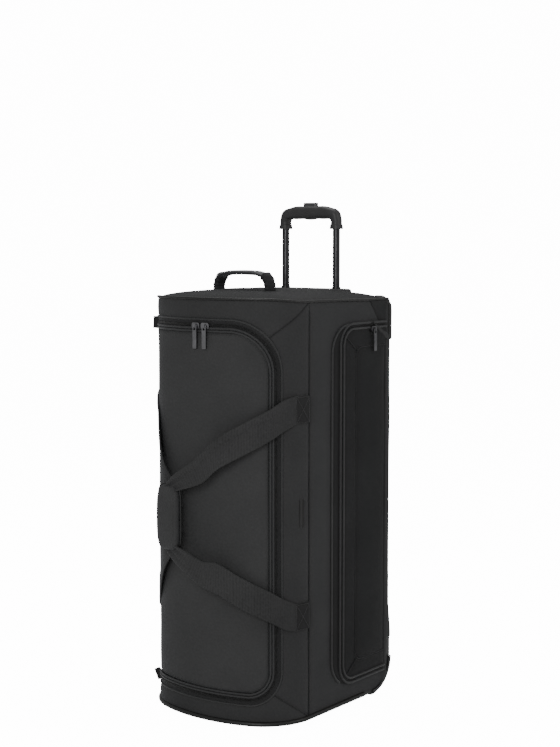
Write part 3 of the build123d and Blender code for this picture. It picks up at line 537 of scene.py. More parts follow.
def cloth_material(name, dark, light, yarns, roughness=0.8, sheen=0.06, slant=0.0, bump=0.5, socket="UV"):
    """Woven polyester: yarn relief, uneven dye, handling marks and painted shade darkening the gaps between
    yarns.
    """
    material, tree, shader, coordinates = start_material(name, roughness, 0.14)
    shader.inputs["Sheen Weight"].default_value = sheen
    shader.inputs["Sheen Roughness"].default_value = 0.45
    shader.inputs["Sheen Tint"].default_value = (0.75, 0.78, 0.82, 1)
    weave = use_group(tree, WEAVE, coordinates.outputs[socket], Yarns=yarns, Slant=slant)
    handling = use_group(tree, HANDLING, coordinates.outputs["Object"], Size=7.0)
    tone = math_node(tree, "MULTIPLY_ADD", weave.outputs["Yarn tone"], 0.7)
    tone.node.inputs[2].default_value = -0.05
    tone = math_node(tree, "ADD", tone, math_node(tree, "MULTIPLY", handling.outputs["Mask"], 0.3))
    # painted shade: yarn height (with its random fuzz) darkens the colour in the weave's gaps and lightens
    # the yarn tops
    depth = math_node(tree, "MULTIPLY", weave.outputs["Height"], 0.45)
    factor = math_node(tree, "MULTIPLY_ADD", depth, 0.6)
    tree.links.new(tone, factor.node.inputs[2])
    factor.node.use_clamp = True
    tree.links.new(mix_colours(tree, factor, dark, light), shader.inputs["Base Color"])
    rough = math_node(tree, "MULTIPLY_ADD", handling.outputs["Mask"], -0.1)
    rough.node.inputs[2].default_value = roughness
    tree.links.new(rough, shader.inputs["Roughness"])
    set_bump(tree, shader, weave.outputs["Height"], bump, 0.25 * MM)
    return material


def plastic_material(name, dark, light, roughness, grain, bump, coat=0.0):
    """Moulded plastic or rubber with a fine pebble and polished, handled patches."""
    material, tree, shader, coordinates = start_material(name, roughness, 0.32)
    shader.inputs["Coat Weight"].default_value = coat
    pebble = use_group(tree, GRAIN, coordinates.outputs["Object"], Scale=grain)
    handling = use_group(tree, HANDLING, coordinates.outputs["Object"], Size=26.0)
    tree.links.new(mix_colours(tree, handling.outputs["Mask"], dark, light), shader.inputs["Base Color"])
    rough = math_node(tree, "MULTIPLY_ADD", handling.outputs["Mask"], 0.14)
    rough.node.inputs[2].default_value = roughness
    tree.links.new(rough, shader.inputs["Roughness"])
    set_bump(tree, shader, pebble.outputs["Height"], bump, 0.15 * MM)
    return material


def metal_material(name, colour, light, roughness, stretch):
    """Drawn or plated metal with fine lines along its length."""
    material, tree, shader, coordinates = start_material(name, roughness, 0.5)
    shader.inputs["Metallic"].default_value = 1.0
    mapping = tree.nodes.new("ShaderNodeMapping")
    mapping.inputs["Scale"].default_value = stretch
    tree.links.new(coordinates.outputs["Object"], mapping.inputs["Vector"])
    lines = noise_node(tree, mapping.outputs[0], 60.0, 3.0, 0.7)
    handling = use_group(tree, HANDLING, coordinates.outputs["Object"], Size=18.0)
    tree.links.new(mix_colours(tree, handling.outputs["Mask"], colour, light), shader.inputs["Base Color"])
    rough = math_node(tree, "MULTIPLY_ADD", lines, 0.2)
    rough.node.inputs[2].default_value = roughness - 0.1
    tree.links.new(rough, shader.inputs["Roughness"])
    set_bump(tree, shader, lines, 0.15, 0.05 * MM)
    return material


LID_CLOTH = cloth_material("lid cloth", (0.016, 0.016, 0.0163), (0.034, 0.034, 0.0345), 1500.0)
SIDE_CLOTH = cloth_material("side cloth", (0.013, 0.013, 0.0133), (0.028, 0.028, 0.0285), 1500.0)
POCKET_CLOTH = cloth_material(
    "pocket cloth", (0.005, 0.005, 0.0052), (0.013, 0.013, 0.0133), 1500.0, sheen=0.02,
)
TOP_CLOTH = cloth_material("top cloth", (0.005, 0.005, 0.0052), (0.012, 0.012, 0.0123), 1500.0, sheen=0.02)
PATCH_CLOTH = cloth_material(
    "patch cloth", (0.007, 0.007, 0.0072), (0.017, 0.017, 0.0173), 1000.0, sheen=0.04,
)
WRAP_CLOTH = cloth_material(
    "wrap cloth", (0.017, 0.017, 0.0173), (0.036, 0.036, 0.0365), 1200.0, sheen=0.12, socket="Object",
)
WEBBING = cloth_material(
    "webbing", (0.004, 0.004, 0.0041), (0.032, 0.032, 0.0325), 480.0, 0.7, 0.06, 1.0, 1.0,
)
HANDLE_WEBBING = cloth_material(
    "handle webbing", (0.006, 0.006, 0.0065), (0.02, 0.02, 0.021), 420.0, 0.7, 0.1, 0.0, 1.0,
)
TAPE_CLOTH = cloth_material(
    "zip tape cloth", (0.006, 0.006, 0.0062), (0.016, 0.016, 0.0165), 1300.0, 0.75, 0.1,
)
LINING = cloth_material(
    "lining cloth", (0.035, 0.036, 0.038), (0.07, 0.071, 0.074), 1800.0, 0.7, 0.1, 0.0, 0.3, "Object",
)
THREAD = plastic_material("thread", (0.020, 0.020, 0.021), (0.04, 0.04, 0.041), 0.6, 1500.0, 0.2)
PIPING = plastic_material("piping cover", (0.003, 0.003, 0.003), (0.007, 0.007, 0.007), 0.4, 1100.0, 0.15)
WELT = cloth_material("welt cloth", (0.012, 0.012, 0.0122), (0.030, 0.030, 0.0305), 1500.0, 0.5, 0.08)
COIL = plastic_material("zip coil", (0.006, 0.006, 0.006), (0.014, 0.014, 0.014), 0.35, 1500.0, 0.05)
MOULDED = plastic_material(
    "moulded plastic", (0.010, 0.010, 0.0105), (0.019, 0.019, 0.0195), 0.42, 750.0, 0.35,
)
GRIP_RUBBER = plastic_material(
    "grip rubber", (0.014, 0.014, 0.0145), (0.026, 0.026, 0.0265), 0.45, 600.0, 0.35,
)
BUTTON = plastic_material("button plastic", (0.03, 0.03, 0.031), (0.05, 0.05, 0.051), 0.32, 1200.0, 0.1, 0.2)
TYRE = plastic_material("tyre rubber", (0.012, 0.012, 0.012), (0.03, 0.03, 0.029), 0.75, 500.0, 0.4)
TUBE_METAL = metal_material("anodised tube", (0.035, 0.035, 0.037), (0.06, 0.06, 0.062), 0.3, (8, 8, 0.3))
STEEL = metal_material("steel", (0.35, 0.35, 0.36), (0.5, 0.5, 0.5), 0.35, (1, 8, 8))
ZIP_METAL = metal_material("zip metal", (0.10, 0.10, 0.105), (0.30, 0.30, 0.31), 0.3, (6, 6, 1))


# ---- skins ----
inside_bag = Vector((0, (front_y + back_y) / 2, body_top / 2))
mitre_in_s = lid_s - 10 * MM
mitre_lines = [
    ((side * mitre_in_s, lid_top - 18 * MM), (side * seam_s, body_top - 2 * MM)) for side in (-1, 1)
] + [
    ((side * (mitre_in_s + 4 * MM), lid_bottom + 10 * MM), (side * seam_s, body_bottom + 6 * MM))
    for side in (-1, 1)
]
lid_edges = (-lid_s, lid_s, lid_bottom, lid_top, lid_radius_top, lid_radius_bottom)


def frame_skin_lift(s, z):
    edge = min(seam_s - abs(s), body_top - z, z - body_bottom)
    seam = min(to_segment(s, z, *line) for line in mitre_lines)
    opening = inside_run(s, z, *lid_edges) - band
    soft = puff(min(edge, seam, max(opening, 0)), 2.2 * MM, 14 * MM, 1.3 * MM)
    return soft - 0.4 * MM + ripple(s, z, 0.09, 0.8 * MM)


def make_frame_skin():
    """The front's frame round the lid, with its four mitred corners."""
    columns = int(2 * seam_s / (2.8 * MM))
    rows = int((body_top - body_bottom) / (3.2 * MM))

    def place(u, v):
        s = (u - 0.5) * 2 * seam_s
        z = body_bottom + v * (body_top - body_bottom)
        return on_bag(s, z, frame_skin_lift(s, z))

    skin = grid("front_frame_skin", columns, rows, place, (2 * seam_s, body_top - body_bottom))
    face_outward(skin, inside_bag)

    def in_opening(face):
        corner = skin.data.uv_layers.active.data[face.loop_indices[0]].uv
        s = corner[0] - seam_s
        z = corner[1] + body_bottom
        return inside_run(s, z, *lid_edges) < band - 4 * MM and s > -lid_s - 1 * MM

    drop_faces(skin, in_opening)
    line_and_thicken(skin, 3.5 * MM, SIDE_CLOTH)
    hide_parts("front_strip_top", "front_strip_bottom", "front_strip_left", "front_strip_right")
    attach(skin, "bag")


def make_lid_skin():
    """The domed lid's padded cloth, inside the zip."""
    inner = -band + 2.5 * MM
    left = -lid_s + 1.0 * MM
    right = lid_s + inner
    low = lid_bottom - inner
    high = lid_top + inner
    columns = int((right - left) / (3 * MM))
    rows = int((high - low) / (3.4 * MM))
    edges = (left, right, low, high, lid_radius_top + inner, lid_radius_bottom + inner)

    def place(u, v):
        s = left + u * (right - left)
        z = low + v * (high - low)
        distance = -inside_run(s, z, *edges)
        lift = puff(max(distance, 0), 4.2 * MM, 30 * MM, 1.2 * MM) - 0.4 * MM
        lift += ripple(s, z, 0.14, 1.6 * MM, 3.0) + ripple(s, z, 0.045, 0.35 * MM, 7.0)
        return on_bag(s, z, lift)

    skin = grid("lid_skin", columns, rows, place, (right - left, high - low))
    face_outward(skin, inside_bag)

    def past_corner(face):
        corner = skin.data.uv_layers.active.data[face.loop_indices[0]].uv
        return inside_run(corner[0] + left, corner[1] + low, *edges) > 1.5 * MM

    drop_faces(skin, past_corner)
    line_and_thicken(skin, 3.5 * MM, LID_CLOTH)
    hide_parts("front_lid")
    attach(skin, "lid")


housing_low, housing_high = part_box("wheel_housing_right")
bend_radius = 62 * MM
bend_y = housing_high[1] - bend_radius
bend_z = housing_low[2] + bend_radius
rim_width = 6 * MM


def beyond_guard(point, reach):
    """True past the rounded lower rear corner."""
    if point.y < bend_y or point.z > bend_z:
        return False
    return math.hypot(point.y - bend_y, point.z - bend_z) > reach


seam_in = 14 * MM  # from the rear corner to the seam across the back


def foot_swell(across, z):
    """The cloth eases out over the top of the wheel housings."""
    return 9.6 * MM * smooth_step(190 * MM, 113 * MM, z) * across


def make_side_skin(side, node):
    """A side panel with its cloth carried round the rear corner to a seam on the back."""
    end = back_start + seam_in
    columns = int((end - seam_s) / (3 * MM))
    rows = int((body_top - body_bottom) / (3.6 * MM))

    def place(u, v):
        s = seam_s + u * (end - seam_s)
        z = body_bottom + v * (body_top - body_bottom)
        distance = min(s - seam_s, end - s, body_top - z, z - body_bottom)
        lift = puff(distance, 2.2 * MM, 18 * MM, 1.0 * MM) - 0.6 * MM
        lift += ripple(s, z, 0.1, 0.9 * MM, 5.0 * side)
        rear = smooth_step(side_end - 22 * MM, side_end, s)
        lift += 3.6 * MM * rear * smooth_step(end + 8 * MM, back_start, s)
        lift += foot_swell(smooth_step(side_end, back_start, s), z)
        return on_bag(side * s, z, lift)

    skin = grid(f"side_skin_{node}", columns, rows, place, (end - seam_s, body_top - body_bottom))
    face_outward(skin, inside_bag)
    drop_faces(skin, lambda face: beyond_guard(face.center, bend_radius - rim_width + 1 * MM)
               or (face.center.y > back_y - 8 * MM and face.center.z < housing_high[2]))
    line_and_thicken(skin, 2.2 * MM, SIDE_CLOTH)
    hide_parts(f"side_panel_{node}")
    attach(skin, "bag")


def make_back_skin():
    """The back, quilted in upright channels over the trolley tubes."""
    half = half_width - back_corner - seam_in
    channels = [-88 * MM, -36 * MM, 36 * MM, 88 * MM]

    def place(u, v):
        x = (u - 0.5) * 2 * half
        z = body_bottom + v * (body_top - body_bottom)
        distance = min([half - abs(x), body_top - z, z - body_bottom] + [abs(x - line) for line in channels])
        lift = puff(distance, 2.4 * MM, 12 * MM, 1.1 * MM) - 0.6 * MM + ripple(x, z, 0.1, 0.7 * MM, 9.0)
        lift += foot_swell(smooth_step(96 * MM, 122 * MM, abs(x)), z)
        lift += 1.2 * MM * smooth_step(half - 10 * MM, half, abs(x))
        return Vector((x, back_y + lift, z))

    skin = grid("back_skin", int(2 * half / (3 * MM)), 200, place, (2 * half, body_top - body_bottom))
    face_outward(skin, inside_bag)
    inner_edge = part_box("wheel_housing_right")[0][0]
    drop_faces(skin, lambda face: abs(face.center.x) > inner_edge and face.center.z < housing_high[2])
    line_and_thicken(skin, 2.2 * MM, SIDE_CLOTH)
    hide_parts("back_panel")
    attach(skin, "bag")


crown = 25 * MM
top_centre = Vector((0, 14 * MM, 0))


def top_height(share):
    return body_top - 3.0 * MM + crown * max(0, 1 - share**2) ** 0.7


def make_top_skin():
    """The crowned end panel."""
    def place(u, v):
        x, y, _, _ = plan((u - 0.5) * 2 * half_round)
        share = v
        point = top_centre.lerp(Vector((x, y, 0)), share)
        wave = ripple(point.x, point.y, 0.08, 1.5 * MM, 2.0) * (1 - share**3)
        rise = rim_rise((u - 0.5) * 2 * half_round) * share**2
        return Vector((point.x, point.y, top_height(share) + wave + rise))

    skin = grid("top_skin", 200, 46, place, (2 * half_round, half_width), around=True)
    total = sum(face.normal.z * face.area for face in skin.data.polygons)
    if total < 0:
        skin.data.flip_normals()
    for loop in skin.data.loops:
        point = skin.data.vertices[loop.vertex_index].co
        skin.data.uv_layers.active.data[loop.index].uv = (point.x, point.y)
    line_and_thicken(skin, 2.0 * MM, TOP_CLOTH)
    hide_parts("top_end_panel")
    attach(skin, "bag")


make_frame_skin()
make_lid_skin()
make_side_skin(-1, "left")
make_side_skin(1, "right")
make_back_skin()
make_top_skin()


# ---- pipings and welts ----
def ring_samples(start, end, z, lift, step=4 * MM):
    count = int((end - start) / step)
    stops = [start + (end - start) * i / count for i in range(count + 1)]
    high = smooth_step(body_top - 26 * MM, body_top, z)
    return [skin_frame(s, z + rim_rise(s) * high, lift, 0, 1) for s in stops]


def add_strip(name, samples, section, material, body, replaced=()):
    strip = loft(name, samples, section, material)
    if replaced:
        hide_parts(*replaced)
    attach(strip, body)
    return strip


STITCH = stitch_pattern()


def add_stitches(name, samples, body, spacing=4.6 * MM):
    row = row_of(name, STITCH, evenly(samples, spacing), THREAD)
    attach(row, body)


rim = ring_samples(-half_round + 0.001, half_round - 0.001, body_top - 1.0 * MM, 0.4 * MM)
add_strip("top_piping_cord", rim, round_section(2.5 * MM, 10), PIPING, "bag", ("top_piping",))
foot_end = seam_s + (housing_low[1] - seam_y)
foot_run = ring_samples(-foot_end, foot_end, body_bottom + 4 * MM, 0.4 * MM)
foot_cord = round_section(4.6 * MM, 12)
add_strip("base_piping_cord", foot_run, foot_cord, PIPING, "bag", ("base_piping",))

seams = []
for side in (-1, 1):
    run = [
        (side * (seam_s + 0.2 * MM), body_bottom + 8 * MM + i * 4 * MM, (1, 0))
        for i in range(int((body_top - body_bottom - 16 * MM) / (4 * MM)))
    ]
    seams.append(loft(f"corner_seam_{side}", on_skin(run, 0.1 * MM), round_section(0.85 * MM, 8), TAPE_CLOTH))
deselect()
for part in seams:
    part.select_set(True)
bpy.context.view_layer.objects.active = seams[0]
bpy.ops.object.join()
seams[0].name = "corner_seams"
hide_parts("seam_piping")
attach(seams[0], "bag")


mitres = []
for start, end in mitre_lines:
    count = max(4, int(math.dist(start, end) / (3 * MM)))
    length = math.dist(start, end)
    across = ((end[1] - start[1]) / length, -(end[0] - start[0]) / length)
    run = []
    for i in range(count + 1):
        s = start[0] + (end[0] - start[0]) * i / count
        z = start[1] + (end[1] - start[1]) * i / count
        run.append((s, z + rim_rise(s) * smooth_step(body_top - 26 * MM, body_top, z), across))
    mitres.append(loft("mitre", on_skin(run, -0.2 * MM), round_section(0.9 * MM, 8), TAPE_CLOTH))
deselect()
for part in mitres:
    part.select_set(True)
bpy.context.view_layer.objects.active = mitres[0]
bpy.ops.object.join()
mitres[0].name = "mitre_seams"
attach(mitres[0], "bag")


def lid_run(offset, left_extra=0.0):
    left = -lid_s - left_extra
    return rounded_run(left, lid_s, lid_bottom, lid_top, lid_radius_top, lid_radius_bottom, offset)


frame_tape = on_skin(lid_run(7.6 * MM), -1.0 * MM)
lid_tape = on_skin(lid_run(-3.0 * MM), -1.0 * MM)
frame_band = flat_section(9 * MM, 0.8 * MM)
lid_band = flat_section(10 * MM, 0.8 * MM)
add_strip("zip_tape_on_frame", frame_tape, frame_band, TAPE_CLOTH, "bag", ("frame_zip_tape",))
add_strip("zip_tape_on_lid", lid_tape, lid_band, TAPE_CLOTH, "lid", ("lid_zip_tape",))
for name, offset, radius, lift, body in (
    ("welt_lid_inner", -8.4 * MM, 2.05 * MM, 0.9 * MM, "lid"),
    ("welt_lid_edge", -3.2 * MM, 2.05 * MM, 0.9 * MM, "lid"),
    ("welt_frame_edge", 12.6 * MM, 1.8 * MM, 0.4 * MM, "bag"),
):
    add_strip(name, on_skin(lid_run(offset), lift), round_section(radius, 10, 0.85), WELT, body)


def tooth_pattern():
    def make():
        bpy.ops.mesh.primitive_cube_add(size=1)

    return small_pattern(make, lambda p: (p.x * 1.1 * MM * (1.2 - abs(p.z)), p.y * 2.6 * MM, p.z * 1.5 * MM))


TOOTH = tooth_pattern()
for name, offset, body, shift in (
    ("coil_on_frame", 3.7 * MM, "bag", 0.5),
    ("coil_on_lid", 1.5 * MM, "lid", 1.0),
):
    teeth = row_of(name, TOOTH, evenly(on_skin(lid_run(offset), 0.7 * MM), 2.2 * MM, shift), COIL)
    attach(teeth, body)

add_stitches("stitches_frame_zip", on_skin(lid_run(9.6 * MM), 0.1 * MM), "bag")
add_stitches("stitches_lid_zip", on_skin(lid_run(-14.2 * MM), 1.1 * MM), "lid")

# ---- sewn strips and patches ----
def join_parts(name, parts):
    deselect()
    for part in parts:
        part.select_set(True)
    bpy.context.view_layer.objects.active = parts[0]
    bpy.ops.object.join()
    parts[0].name = name
    return parts[0]


def through(points, t):
    """A smooth curve through points, t from 0 to 1."""
    last = len(points) - 1
    i = min(last - 1, int(t * last))
    f = t * last - i
    before, here, there, after = (points[min(last, max(0, i + k))] for k in (-1, 0, 1, 2))
    return tuple(
        0.5 * (2 * b + (c - a) * f + (2 * a - 5 * b + 4 * c - d) * f**2 + (3 * b - a - 3 * c + d) * f**3)
        for a, b, c, d in zip(before, here, there, after)
    )


leave = math.radians(8)
strap_gap = 3.6 * MM
right_plane = 199 * MM
upper_anchor = 589 * MM
lower_anchor = 210 * MM
wrap_low, wrap_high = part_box("handle_wrap")
wrap_x = (wrap_low[0] + wrap_high[0]) / 2
wrap_y = (wrap_low[1] + wrap_high[1]) / 2
wrap_z = (wrap_low[2] + wrap_high[2]) / 2
wrap_reach = (wrap_high[2] - wrap_low[2]) / 2


def right_strap_y(x):
    """How far forward the right loop hangs at x."""
    leave_x = shoulder_x + shoulder_radius * math.cos(leave)
    leave_y = seam_y - shoulder_radius * math.sin(leave)
    radius = (leave_y + right_plane) / (1 - math.sin(leave))
    centre_x = leave_x - radius * math.cos(leave)
    centre_y = leave_y + radius * math.sin(leave)
    reach = radius + strap_gap
    if x <= centre_x:
        return centre_y - reach
    if x >= leave_x:
        spare = (shoulder_radius + strap_gap) ** 2 - (x - shoulder_x) ** 2
        return seam_y - math.sqrt(max(spare, 0))
    return centre_y - math.sqrt(max(reach**2 - (x - centre_x) ** 2, 0))


def left_strap_y(x):
    """The left loop lies close to the dome and comes forward behind the wrap."""
    away = smooth_step(-128 * MM, -62 * MM, x)
    angle = math.acos(max(-1, min(1, (-x - shoulder_x) / shoulder_radius)))
    dome_y = seam_y - shoulder_radius * math.sin(angle)
    if -x < shoulder_x + shoulder_radius * math.sin(front_turn) * 0.99:
        dome_y = front_centre_y - math.sqrt(front_radius**2 - x**2)
    return (dome_y - 2.6 * MM) * (1 - away) - 181 * MM * away


def strap_run(name, upper, lower, depth, fold):
    """One run of webbing between its two edges in front view, gathered at the wrap."""
    length = sum(math.dist(upper[i], upper[i + 1]) for i in range(len(upper) - 1))

    def place(u, v):
        top = through(upper, v)
        low = through(lower, v)
        x = low[0] + (top[0] - low[0]) * u
        z = low[1] + (top[1] - low[1]) * u
        gathered = smooth_step(0.78, 1.0, v)
        lift = 0.9 * MM * math.sin(math.pi * u) * (1 - gathered)
        lift += fold * 3.0 * MM * smooth_step(0.71, 0.745, u) * smooth_step(0.05, 0.2, v) * (1 - gathered)
        lift += 2.6 * MM * math.sin(2.5 * math.tau * u) * gathered
        lift += 3.0 * MM * math.exp(-(((v - 0.115) / 0.03) ** 2)) * (0.6 + 0.4 * math.sin(9 * u))
        return Vector((x, depth(x) - lift, z))

    run = grid(name, 30, 120, place, (50 * MM, length))
    total = sum(face.normal.y * face.area for face in run.data.polygons)
    if total > 0:
        run.data.flip_normals()
    thicken(run, 2.3 * MM)
    return finish_mesh(run, WEBBING)


def right_edges(anchor, wrap_end, up):
    upper = [
        (163.9, anchor / MM + up * 25), (161.5, anchor / MM + up * 25), (153, anchor / MM + up * 19),
        (136, anchor / MM + up * 1), (104, anchor / MM - up * 21), (62, anchor / MM - up * 48),
        (15, wrap_end / MM + up * 59), (-36, wrap_end / MM + up * 27), (-70, wrap_end / MM - up * 8),
    ]
    lower = [
        (163.9, anchor / MM - up * 25), (161.5, anchor / MM - up * 26), (153, anchor / MM - up * 36),
        (136, anchor / MM - up * 55), (104, anchor / MM - up * 78), (62, anchor / MM - up * 104),
        (30, wrap_end / MM + up * 19), (-14, wrap_end / MM + up * 3), (-46, wrap_end / MM - up * 8),
    ]
    return [[(x * MM, z * MM) for x, z in edge] for edge in (upper, lower)]


def left_edges(anchor, wrap_end, up):
    upper = [
        (-163.9, anchor / MM + up * 25), (-158, anchor / MM + up * 24), (-145, anchor / MM + up * 14),
        (-120, anchor / MM - up * 8), (-84, wrap_end / MM + up * 56), (-58, wrap_end / MM + up * 20),
        (-46, wrap_end / MM - up * 8),
    ]
    lower = [
        (-163.9, anchor / MM - up * 25), (-158, anchor / MM - up * 27), (-146, anchor / MM - up * 38),
        (-128, anchor / MM - up * 55), (-102, wrap_end / MM + up * 30), (-82, wrap_end / MM + up * 6),
        (-70, wrap_end / MM - up * 8),
    ]
    return [[(x * MM, z * MM) for x, z in edge] for edge in (upper, lower)]


def make_straps():
    for label, edges, depth in (("right", right_edges, right_strap_y), ("left", left_edges, left_strap_y)):
        runs = []
        for anchor, end, up in (
            (upper_anchor, wrap_z + wrap_reach, 1),
            (lower_anchor, wrap_z - wrap_reach, -1),
        ):
            upper, lower = edges(anchor, end, up)
            runs.append(strap_run(f"strap_{label}_{up}", upper, lower, depth, 1 if up > 0 else 0.25))
        strap = join_parts(f"carry_strap_{label}_webbing", runs)
        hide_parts(f"carry_strap_{label}")
        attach(strap, f"carry_loop_{label}")


def skin_patch(name, s_low, s_high, z_low, z_high, lift, thickness, material, columns=14, rows=22):
    """A small sewn patch that follows the bag's outline."""
    def place(u, v):
        s = s_low + (s_high - s_low) * u
        z = z_low + (z_high - z_low) * v
        edge = min(s - s_low, s_high - s, z - z_low, z_high - z)
        return on_bag(s, z, lift * smooth_step(-0.4 * MM, 1.2 * MM, edge))

    patch = grid(name, columns, rows, place, (s_high - s_low, z_high - z_low))
    face_outward(patch, inside_bag)
    thicken(patch, thickness)
    return finish_mesh(patch, material)


def straight_skin_run(start, end, step=2 * MM):
    count = max(2, int(math.dist(start, end) / step))
    length = math.dist(start, end)
    across = ((end[1] - start[1]) / length, -(end[0] - start[0]) / length)
    return [
        (start[0] + (end[0] - start[0]) * i / count, start[1] + (end[1] - start[1]) * i / count, across)
        for i in range(count + 1)
    ]


def make_anchor_patches():
    patches = []
    threads = []
    for side in (-1, 1):
        for anchor in (upper_anchor, lower_anchor):
            reach = 39 * MM if side > 0 else 34 * MM
            s_low, s_high = sorted((side * (seam_s - reach), side * (seam_s - 3.5 * MM)))
            z_low, z_high = anchor - 26 * MM, anchor + 26 * MM
            patches.append(skin_patch("patch", s_low, s_high, z_low, z_high, 5.2 * MM, 1.6 * MM, PATCH_CLOTH))
            inset = 3 * MM
            box = [
                (s_low + inset, z_low + inset), (s_high - inset, z_low + inset),
                (s_high - inset, z_high - inset), (s_low + inset, z_high - inset),
            ]
            lines = [(box[i], box[(i + 1) % 4]) for i in range(4)] + [(box[0], box[2]), (box[1], box[3])]
            for start, end in lines:
                run = on_skin(straight_skin_run(start, end), 5.6 * MM)
                threads.append(row_of("threads", STITCH, evenly(run, 3.6 * MM), PATCH_THREAD))
    cover = join_parts("strap_anchor_patches", patches)
    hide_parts("anchor_patches")
    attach(cover, "bag")
    row = join_parts("anchor_stitches", threads)
    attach(row, "bag")


def swell(piece, cap, pressure=4.0, voxel=4.5 * MM):
    """Inflates a closed cover by cloth simulation and caps how far any point moves."""
    remesh = piece.modifiers.new("even faces", "REMESH")
    remesh.mode = "VOXEL"
    remesh.voxel_size = voxel
    apply_modifiers(piece)
    rest = [vertex.co.copy() for vertex in piece.data.vertices]
    cloth = piece.modifiers.new("cover", "CLOTH")
    cloth.settings.use_pressure = True
    cloth.settings.uniform_pressure_force = pressure
    cloth.settings.effector_weights.gravity = 0
    cloth.settings.quality = 5
    for number in range(1, 21):
        bpy.context.scene.frame_set(number)
    apply_modifiers(piece)
    bpy.context.scene.frame_set(1)
    for vertex, start in zip(piece.data.vertices, rest):
        move = vertex.co - start
        if move.length > cap:
            vertex.co = start + move.normalized() * cap
    smooth = piece.modifiers.new("smooth", "SUBSURF")
    smooth.levels = 1
    smooth.render_levels = 1
    apply_modifiers(piece)


def make_wrap():
    """The padded wrap that holds the two loops together."""
    half_x = (wrap_high[0] - wrap_low[0]) / 2
    half_y = (wrap_high[1] - wrap_low[1]) / 2 - 3.5 * MM
    half_z = 118 * MM / 2 + 1 * MM

    def place(u, v):
        turn = math.tau * u
        rise = (v - 0.5) * 2
        end = (1 - abs(rise) ** 4) ** 0.5 if abs(rise) < 1 else 0.0
        wide = half_x * (0.55 + 0.45 * end)
        deep = half_y * (0.5 + 0.5 * end)
        x = wide * math.copysign(abs(math.cos(turn)) ** 0.7, math.cos(turn))
        y = deep * math.copysign(abs(math.sin(turn)) ** 0.7, math.sin(turn))
        lean = -5 * MM * (1 - rise * rise)
        return Vector((wrap_x + x + lean * 0.4, wrap_y + y, wrap_z + rise * half_z))

    wrap = grid("handle_wrap_pad", 40, 40, place, around=True)
    bpy.ops.object.mode_set(mode="EDIT")
    bpy.ops.mesh.select_all(action="SELECT")
    bpy.ops.mesh.fill_holes(sides=0)
    bpy.ops.mesh.normals_make_consistent(inside=False)
    bpy.ops.object.mode_set(mode="OBJECT")
    swell(wrap, 5 * MM)
    for vertex in wrap.data.vertices:
        rise = (vertex.co.z - wrap_z) / half_z
        groove = math.exp(-(((vertex.co.x - wrap_x - half_x * 0.72) / (1.6 * MM)) ** 2)) * 1.4 * MM
        groove += 0.5 * MM * math.sin(vertex.co.x / (5 * MM)) * smooth_step(0.7, 1.0, abs(rise))
        if vertex.co.y < wrap_y:
            vertex.co.y += groove
    finish_mesh(wrap, WRAP_CLOTH)
    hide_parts("handle_wrap")
    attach(wrap, "carry_loop_right")
    edge = []
    for i in range(61):
        turn = math.tau * i / 60
        across = Vector((math.cos(turn), 0, math.sin(turn)))
        reach_x = (half_x + 2.0 * MM) * math.copysign(abs(math.cos(turn)) ** 0.45, math.cos(turn))
        reach_z = (half_z + 1.0 * MM) * math.copysign(abs(math.sin(turn)) ** 0.35, math.sin(turn))
        corner = Vector((wrap_x + reach_x, wrap_y + 2 * MM, wrap_z + reach_z))
        edge.append((corner, across, Vector((0, -1, 0))))
    binding = loft("wrap_piping", edge, round_section(1.7 * MM, 8), PIPING)
    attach(binding, "carry_loop_right")


def scaled_loft(name, samples, section, material):
    """A loft whose samples carry their own width and height scales."""
    rows = len(samples) - 1
    count = len(section)

    def place(u, v):
        centre, across, outward, wide, high = samples[round(v * rows)]
        reach, height = section[round(u * count) % count]
        return centre + across * reach * wide + outward * height * high

    length = sum((samples[i + 1][0] - samples[i][0]).length for i in range(rows))
    piece = grid(name, count, rows, place, size=(0.08, length), around=True)
    bpy.ops.object.mode_set(mode="EDIT")
    bpy.ops.mesh.select_all(action="SELECT")
    bpy.ops.mesh.fill_holes(sides=0)
    bpy.ops.mesh.normals_make_consistent(inside=False)
    bpy.ops.object.mode_set(mode="OBJECT")
    return finish_mesh(piece, material)


def path_frames(points, count, across):
    """Even samples on a smooth path in a plane, with the direction out of the bend."""
    frames = []
    for i in range(count + 1):
        t = i / count
        here = Vector(through(points, t)[:3])
        ahead = Vector(through(points, min(1, t + 0.004))[:3])
        behind = Vector(through(points, max(0, t - 0.004))[:3])
        travel = (ahead - behind).normalized()
        out = travel.cross(across).normalized()
        frames.append((here, across, out, t))
    return frames


